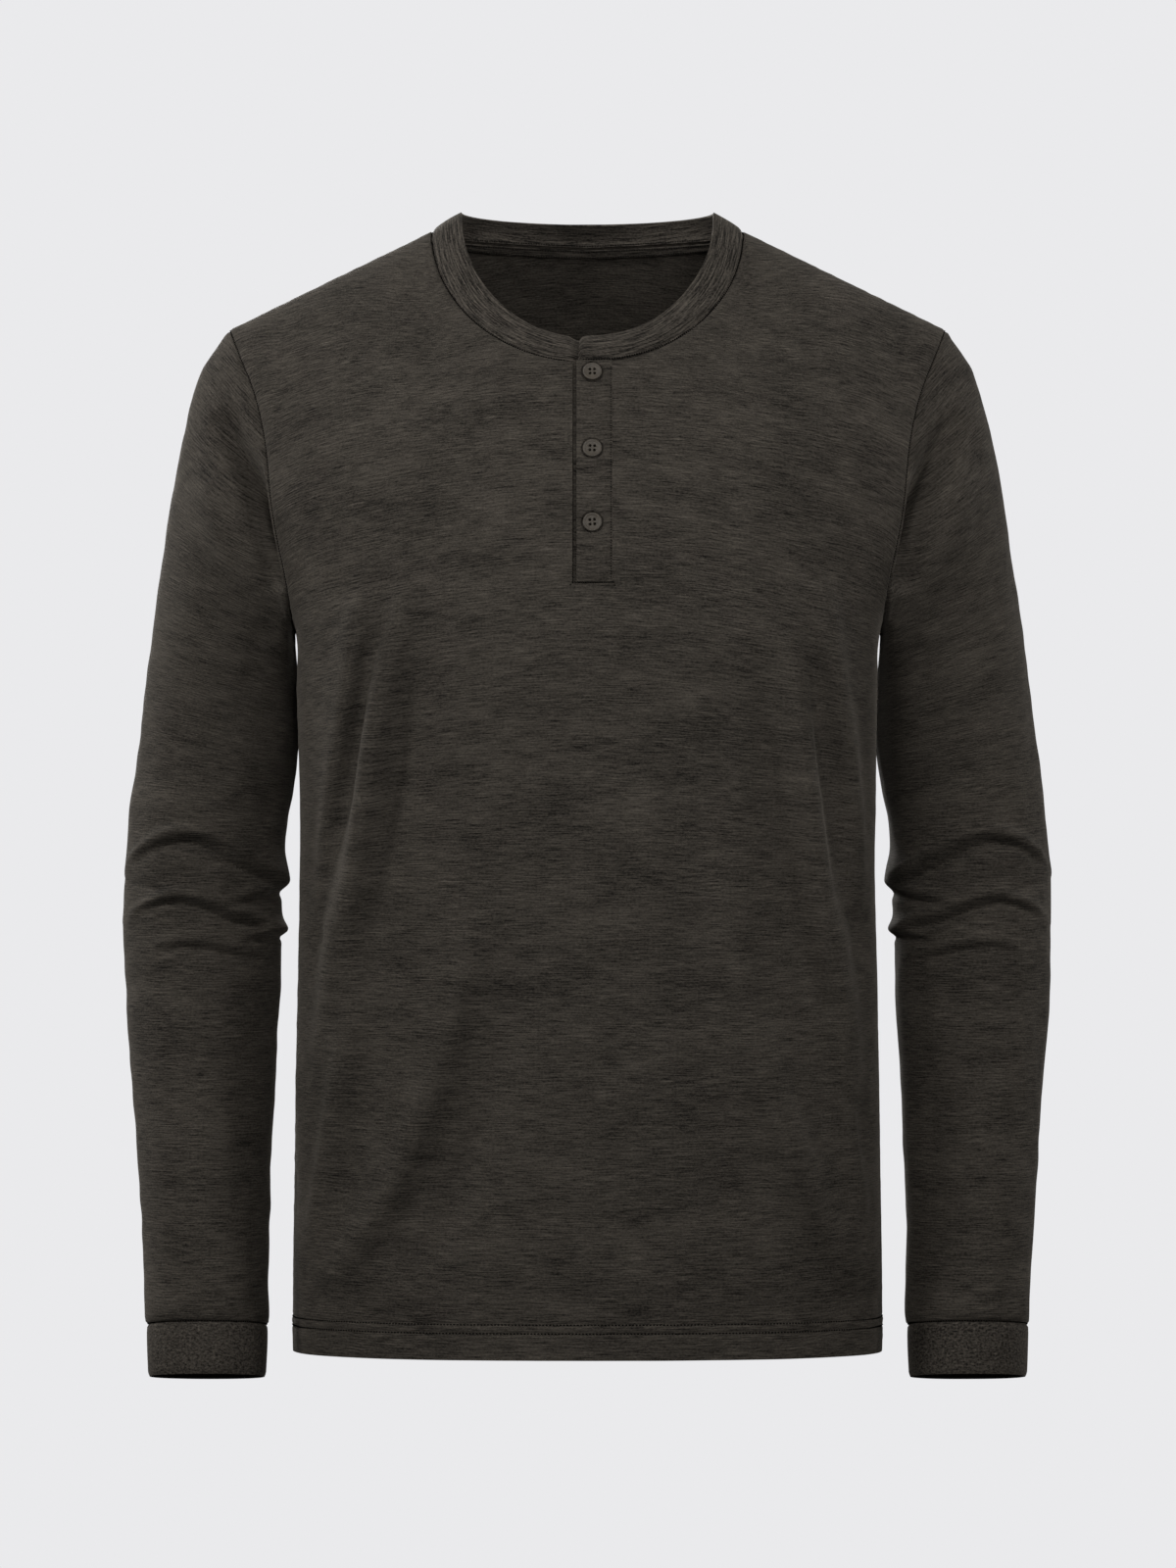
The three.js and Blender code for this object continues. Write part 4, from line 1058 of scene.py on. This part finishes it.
def buttonFinish():
    made = Finish("button_plastic")
    axes = made.axes(made.node("ShaderNodeTexCoord", output="Object"))
    cloud = solidNoise(made, axes, horn["cloud"])
    fleck = solidNoise(made, axes, horn["fleck"])
    tone = made.tint(cloud.eased(*horn["edge"]), linear(*horn["dark"]), linear(*horn["light"]))
    rough = cloud * horn["ofCloud"] + fleck * horn["ofFleck"] + horn["roughness"]
    made.set(Base_Color=tone, Roughness=rough.clamped(*horn["range"]),
             Specular_IOR_Level=horn["specular"])
    made.bump(fleck, horn["relief"])
    return made.material


def threadFinish(name, colour):
    made = Finish(name)
    axes = made.axes(made.node("ShaderNodeTexCoord", output="Object"))
    level = solidNoise(made, axes, threadLook["twist"]) * threadLook["ofTwist"] + threadLook["least"]
    made.set(Base_Color=made.brighten(colour, level.clamped(*threadLook["range"])),
             Roughness=threadLook["roughness"], Specular_IOR_Level=threadLook["specular"])
    return made.material


buttonPlastic = buttonFinish()
thread = threadFinish("thread", linear(15, 14, 12))
buttonThread = threadFinish("button_thread", linear(20, 18, 16))


def lathe(profile, sides, name, material):
    places, faces = [(0, 0, profile[0][1])], []
    for radius, height in profile[1:-1]:
        places += [(radius * math.cos(2 * pi * k / sides), radius * math.sin(2 * pi * k / sides),
                    height) for k in range(sides)]
    places.append((0, 0, profile[-1][1]))
    last = len(places) - 1
    rings = len(profile) - 2
    for k in range(sides):
        after = (k + 1) % sides
        faces.append((0, 1 + after, 1 + k))
        for ring in range(rings - 1):
            low = 1 + ring * sides
            faces.append((low + k, low + after, low + sides + after))
            faces.append((low + k, low + sides + after, low + sides + k))
        top = 1 + (rings - 1) * sides
        faces.append((top + k, top + after, last))
    return meshObject(name, places, faces, material, sharp=38)


# Cuts round holes through a piece and leaves a plain mesh
def cutHoles(piece, spots, radius, sides=16, low=-2, high=5):
    for x, y in spots:
        ring = [(x + radius * math.cos(2 * pi * k / sides), y + radius * math.sin(2 * pi * k / sides))
                for k in range(sides)]
        places = [(a, b, low) for a, b in ring] + [(a, b, high) for a, b in ring]
        faces = [tuple(range(sides - 1, -1, -1)), tuple(range(sides, 2 * sides))]
        faces += [(k, (k + 1) % sides, sides + (k + 1) % sides, sides + k) for k in range(sides)]
        mesh = bpy.data.meshes.new("cutter")
        mesh.from_pydata((np.array(places) * 0.001).tolist(), [], faces)
        cutter = bpy.data.objects.new("cutter", mesh)
        scene.collection.objects.link(cutter)
        cut = piece.modifiers.new("holes", "BOOLEAN")
        cut.operation, cut.solver, cut.object = "DIFFERENCE", "EXACT", cutter
        made = bpy.data.meshes.new_from_object(piece.evaluated_get(
            bpy.context.evaluated_depsgraph_get()))
        piece.modifiers.clear()
        piece.data = made
        bpy.data.objects.remove(cutter)
    piece.data.name = piece.name


# A short thread from one place to another, with round ends
sewnThread = {"radius": 0.2, "apart": 0.22, "closer": 0.96, "low": -0.3, "high": 0.5,
              "sides": 8, "endSize": 0.45, "endLength": 0.8}


def strand(start, end):
    start, end = np.array(start, float), np.array(end, float)
    radius, sides = sewnThread["radius"], sewnThread["sides"]
    way = unit(end - start)
    side = unit(np.cross(way, [0.3, 0.5, 0.8]))
    over = np.cross(way, side)
    tip = way * radius * sewnThread["endLength"]
    rings = [(start - tip, sewnThread["endSize"]), (start, 1.0), (end, 1.0),
             (end + tip, sewnThread["endSize"])]
    places = [middle + radius * size * (side * math.cos(2 * pi * k / sides)
                                        + over * math.sin(2 * pi * k / sides))
              for middle, size in rings for k in range(sides)]
    faces = [tuple(range(sides - 1, -1, -1)), tuple(range(3 * sides, 4 * sides))]
    faces += [(r * sides + k, r * sides + (k + 1) % sides, (r + 1) * sides + (k + 1) % sides,
               (r + 1) * sides + k) for r in range(3) for k in range(sides)]
    return places, faces


# Where a button sits on the upper placket, and which way it faces
def seatOf(level):
    middle = upperSheet["columns"] // 2
    at = upperSheet["at"].reshape(upperSheet["points"].shape)[:, middle]
    facing = upperSheet["facing"].reshape(upperSheet["points"].shape)[:, middle]
    place = np.array([np.interp(-level, -at[:, 2], at[:, k]) for k in range(3)])
    way = unit(np.array([np.interp(-level, -at[:, 2], facing[:, k]) for k in range(3)]))
    place[0] = button["x"]
    return place + way * button["lift"], way


# Turns a piece from its own axis onto the cloth and leaves its object at the origin
def settle(piece, place, way, turn):
    side = unit(np.cross([0, 0, 1.0], way))
    over = np.cross(way, side)
    spin = math.radians(turn)
    first = side * math.cos(spin) + over * math.sin(spin)
    second = over * math.cos(spin) - side * math.sin(spin)
    count = len(piece.data.vertices)
    at = np.zeros(count * 3)
    piece.data.vertices.foreach_get("co", at)
    at = at.reshape(-1, 3)
    at = at[:, :1] * first + at[:, 1:2] * second + at[:, 2:] * way + np.array(place) * 0.001
    piece.data.vertices.foreach_set("co", at.ravel())
    piece.data.update()


holeSpots = [(sx * button["offset"], sy * button["offset"]) for sx, sy in
             ((1, 1), (1, -1), (-1, -1), (-1, 1))]
for number, (level, turn) in enumerate(zip(button["levels"], button["turns"]), 1):
    place, way = seatOf(level)
    disc = lathe(buttonProfile, button["sides"], f"button_{number}_disc", buttonPlastic)
    cutHoles(disc, holeSpots, button["hole"])
    settle(disc, place, way, turn)
    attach(disc, "root")
    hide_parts(f"button_{number}")
    places, faces = [], []
    for x, y in holeSpots:
        for shift in (-sewnThread["apart"], sewnThread["apart"]):
            more, corners = strand((x + shift, y * sewnThread["closer"], sewnThread["low"]),
                                   (x + shift, y * sewnThread["closer"], sewnThread["high"]))
            faces += [tuple(k + len(places) for k in face) for face in corners]
            places += more
    sewn = bpy.data.meshes.new(f"button_{number}_thread")
    sewn.from_pydata((np.array(places) * 0.001).tolist(), [], faces)
    sewn.materials.append(buttonThread)
    sewn.shade_smooth()
    sewnPiece = bpy.data.objects.new(sewn.name, sewn)
    scene.collection.objects.link(sewnPiece)
    settle(sewnPiece, place, way, turn)
    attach(sewnPiece, "root")
print("buttons made")

# Stitches: short round threads set along lines on the cloth
def gridOf(sheet):
    shape = sheet["points"].shape
    return outerPoints(sheet).reshape(shape), sheet["facing"].reshape(shape)


# Places on the cloth at one distance from an edge, moved out a little
def lineFrom(sheet, side, distance, start=0, stop=None, lift=0.1):
    at, facing = gridOf(sheet)
    if side in ("left", "right"):
        at, facing = at.transpose(1, 0, 2), facing.transpose(1, 0, 2)
    if side in ("bottom", "right"):
        at, facing = at[::-1], facing[::-1]
    line = []
    for k in range(at.shape[1])[start:stop]:
        far = np.concatenate([[0], np.cumsum(np.linalg.norm(np.diff(at[:, k], axis=0), axis=1))])
        spot = np.array([np.interp(distance, far, at[:, k, axis]) for axis in range(3)])
        way = np.array([np.interp(distance, far, facing[:, k, axis]) for axis in range(3)])
        line.append(spot + unit(way) * lift)
    return np.array(line)


def stitchTree():
    tree = bpy.data.node_groups.new("stitches", "GeometryNodeTree")
    face = tree.interface
    face.new_socket("Geometry", in_out="INPUT", socket_type="NodeSocketGeometry")
    for name, value in (("Pitch", 0.002), ("Length", 0.0014), ("Radius", 0.0002)):
        face.new_socket(name, in_out="INPUT", socket_type="NodeSocketFloat").default_value = value
    face.new_socket("Material", in_out="INPUT", socket_type="NodeSocketMaterial")
    face.new_socket("Geometry", in_out="OUTPUT", socket_type="NodeSocketGeometry")
    add, link = tree.nodes.new, tree.links.new
    given, result = add("NodeGroupInput"), add("NodeGroupOutput")
    curve, even = add("GeometryNodeMeshToCurve"), add("GeometryNodeResampleCurve")
    even.mode = "LENGTH"
    stitch = add("GeometryNodeMeshUVSphere")
    stitch.inputs["Segments"].default_value = 6
    stitch.inputs["Rings"].default_value = 5
    stitch.inputs["Radius"].default_value = 1.0
    along, turn = add("GeometryNodeInputTangent"), add("FunctionNodeAlignRotationToVector")
    turn.axis = "X"
    half, size = add("ShaderNodeMath"), add("ShaderNodeCombineXYZ")
    half.operation = "MULTIPLY"
    half.inputs[1].default_value = 0.5
    place, solid = add("GeometryNodeInstanceOnPoints"), add("GeometryNodeRealizeInstances")
    coat = add("GeometryNodeSetMaterial")
    link(given.outputs["Geometry"], curve.inputs[0])
    link(curve.outputs[0], even.inputs["Curve"])
    link(given.outputs["Pitch"], even.inputs["Length"])
    link(even.outputs[0], place.inputs["Points"])
    link(stitch.outputs[0], place.inputs["Instance"])
    link(along.outputs[0], turn.inputs["Vector"])
    link(turn.outputs[0], place.inputs["Rotation"])
    link(given.outputs["Length"], half.inputs[0])
    link(half.outputs[0], size.inputs[0])
    link(given.outputs["Radius"], size.inputs[1])
    link(given.outputs["Radius"], size.inputs[2])
    link(size.outputs[0], place.inputs["Scale"])
    link(place.outputs[0], solid.inputs[0])
    link(solid.outputs[0], coat.inputs["Geometry"])
    link(given.outputs["Material"], coat.inputs["Material"])
    link(coat.outputs[0], result.inputs[0])
    return tree


sewing = stitchTree()


# Rows of stitches along lines, each line closed or open
def sew(name, lines, pitch, length, radius, material):
    places, edges = [], []
    for line, closed in lines:
        first = len(places)
        places += list(line)
        edges += [(first + k, first + k + 1) for k in range(len(line) - 1)]
        if closed:
            edges.append((first + len(line) - 1, first))
    mesh = bpy.data.meshes.new(name)
    mesh.from_pydata((np.array(places) * 0.001).tolist(), edges, [])
    piece = bpy.data.objects.new(name, mesh)
    scene.collection.objects.link(piece)
    grow = piece.modifiers.new("stitches", "NODES")
    grow.node_group = sewing
    known = {item.name: item.identifier for item in sewing.interface.items_tree
             if item.in_out == "INPUT"}
    for key, value in (("Pitch", pitch * 0.001), ("Length", length * 0.001),
                       ("Radius", radius * 0.001), ("Material", material)):
        grow[known[key]] = value
    made = bpy.data.meshes.new_from_object(piece.evaluated_get(
        bpy.context.evaluated_depsgraph_get()))
    piece.modifiers.clear()
    piece.data = made
    made.name = name
    made.shade_smooth()
    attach(piece, "root")
    return piece


# Places on the front panel, given by x and z
def onFront(places, out=0.25):
    x, z = np.array(places, float).T
    return np.stack([x, -bodyDepth("front", x, z) - out, z], axis=1)


# For each seam: pitch, length and radius of its stitches, and how far they are from the edge.
# ends says how much of the grid they leave free at the ends, and out how far they stand out.
stitches = {
    "hem_stitches": {"size": (2.1, 1.35, 0.5)},
    "armhole_stitches": {"size": (1.6, 1.05, 0.46), "from": 0.5, "ends": 2},
    "cuff_stitches": {"size": (1.7, 1.3, 0.36), "from": 0.6},
    "placket_stitches": {"size": (1.6, 1.0, 0.3), "from": 1.0, "ends": (9, -6)},
    "placket_end": {"size": (1.3, 1.25, 0.42)},
    "neckband_stitches": {"size": (1.6, 1.1, 0.58), "from": 0.2, "ends": (2, -8), "out": 0.3},
    "back_neck_stitches": {"size": (1.7, 1.2, 0.42), "from": 1.0, "out": -1.65,
                           "tapeFrom": 0.9, "tapeEnds": (1, -1), "tapeOut": -1.0}}


def sewSeam(name, lines, closed=False):
    sew(name, [(line, closed) for line in lines], *stitches[name]["size"], thread)


sewSeam("hem_stitches", [lineFrom(sheet, "bottom", level)
                         for sheet in (frontSheet, backSheet) for level in hem["rows"]])
armhole = stitches["armhole_stitches"]
sewSeam("armhole_stitches", [lineFrom(sheet, side, armhole["from"], armhole["ends"],
                                      armpitRow - armhole["ends"])
                             for sheet in (frontSheet, backSheet) for side in ("left", "right")])
sewSeam("cuff_stitches", [lineFrom(sheet, "bottom", stitches["cuff_stitches"]["from"])
                          for sheet in (sleeveLeft, sleeveRight)], closed=True)
placket = stitches["placket_stitches"]
sewSeam("placket_stitches", [lineFrom(upperSheet, "right", placket["from"], *placket["ends"])])
cornerLeft, cornerRight = body["placketLeft"], body["placketRight"]
low = body["placketBottom"]
sewSeam("placket_end", [
    onFront([(x, low - 0.2) for x in np.linspace(cornerLeft, cornerRight + 0.6, 12)]),
    onFront([(cornerLeft - 0.2, low), (cornerLeft - 1.4, low - 1.7)]),
    onFront([(cornerRight + 0.4, low), (cornerRight + 1.5, low - 2)])])
neck = stitches["neckband_stitches"]
sewSeam("neckband_stitches", [
    lineFrom(neckbandSheet, "bottom", neck["from"], *neck["ends"], neck["out"])])
neck = stitches["back_neck_stitches"]
backStart = int(np.argmax(neckbandSheet["points"][-1, :, 1] > 0))
backStop = neckbandSheet["columns"] - int(np.argmax(neckbandSheet["points"][-1, ::-1, 1] > 0))
sewSeam("back_neck_stitches", [
    lineFrom(neckbandSheet, "bottom", neck["from"], backStart, backStop, neck["out"])] + [
    lineFrom(tapeSheet, side, neck["tapeFrom"], *neck["tapeEnds"], neck["tapeOut"])
    for side in ("top", "bottom")])
print("stitches made")

# Backdrop and lights
studio = {"colour": linear(234, 234, 236), "radius": 14.0, "ambient": 0.045, "rings": 24,
          "turns": 48}


# A pale dome that only the camera sees
def backdrop():
    made = Finish("backdrop")
    made.set(Base_Color=(0, 0, 0, 1), Emission_Color=studio["colour"], Emission_Strength=1.0,
             Roughness=1.0, Specular_IOR_Level=0.0)
    rings, turns, radius = studio["rings"], studio["turns"], 1000 * studio["radius"]
    places = [(radius * math.sin(pi * r / rings) * math.cos(2 * pi * t / turns),
               radius * math.sin(pi * r / rings) * math.sin(2 * pi * t / turns),
               radius * math.cos(pi * r / rings))
              for r in range(rings + 1) for t in range(turns)]
    faces = [(r * turns + t, r * turns + (t + 1) % turns, (r + 1) * turns + (t + 1) % turns,
              (r + 1) * turns + t) for r in range(rings) for t in range(turns)]
    piece = meshObject("backdrop", places, faces, made.material)
    piece.visible_diffuse = piece.visible_glossy = piece.visible_shadow = False
    piece.visible_transmission = piece.visible_volume_scatter = False


backdrop()
world = bpy.data.worlds.new("world")
world.use_nodes = True
world.node_tree.nodes["Background"].inputs["Color"].default_value = studio["colour"]
world.node_tree.nodes["Background"].inputs["Strength"].default_value = studio["ambient"]
scene.world = world


# For each light: where it is, where it points, its size, its power and its spread in degrees
lights = {
    "key": ((-0.8, -2.1, 1.6), (0, 0, -0.22), (0.6, 0.6), 3.7, 75),
    "left": ((-2.4, -1.2, 0.7), (-0.06, 0, -0.31), (0.5, 1.3), 6.3, 75),
    "right": ((2.3, -1.45, 0.75), (0.1, 0, -0.31), (0.5, 1.3), 4.2, 75),
    "front": ((0.45, -2.8, 0.25), (0.06, 0, -0.2), (1.0, 1.0), 2.4, 50),
    "rim_left": ((-1.5, 0.7, 0.8), (-0.1, 0, -0.3), (0.5, 1.6), 6.0, 90),
    "rim_right": ((1.5, 0.8, 0.9), (0.1, 0, -0.3), (0.5, 1.6), 3.4, 90),
    "back": ((-0.7, 2.7, 0.7), (0, 0, -0.32), (1.2, 1.2), 9.0, 75)}


def softbox(name, place, target, size, power, spread):
    light = bpy.data.lights.new(name, "AREA")
    light.shape = "RECTANGLE"
    light.size, light.size_y = size
    light.energy = power
    light.spread = math.radians(spread)
    lamp = bpy.data.objects.new(name, light)
    lamp.location = place
    away = [place[k] - target[k] for k in range(3)]
    flat = math.hypot(away[0], away[1])
    lamp.rotation_euler = (math.atan2(flat, away[2]), 0, math.atan2(away[1], away[0]) + pi / 2)
    scene.collection.objects.link(lamp)


for name, settings in lights.items():
    softbox(name, *settings)
print("backdrop and lights set")
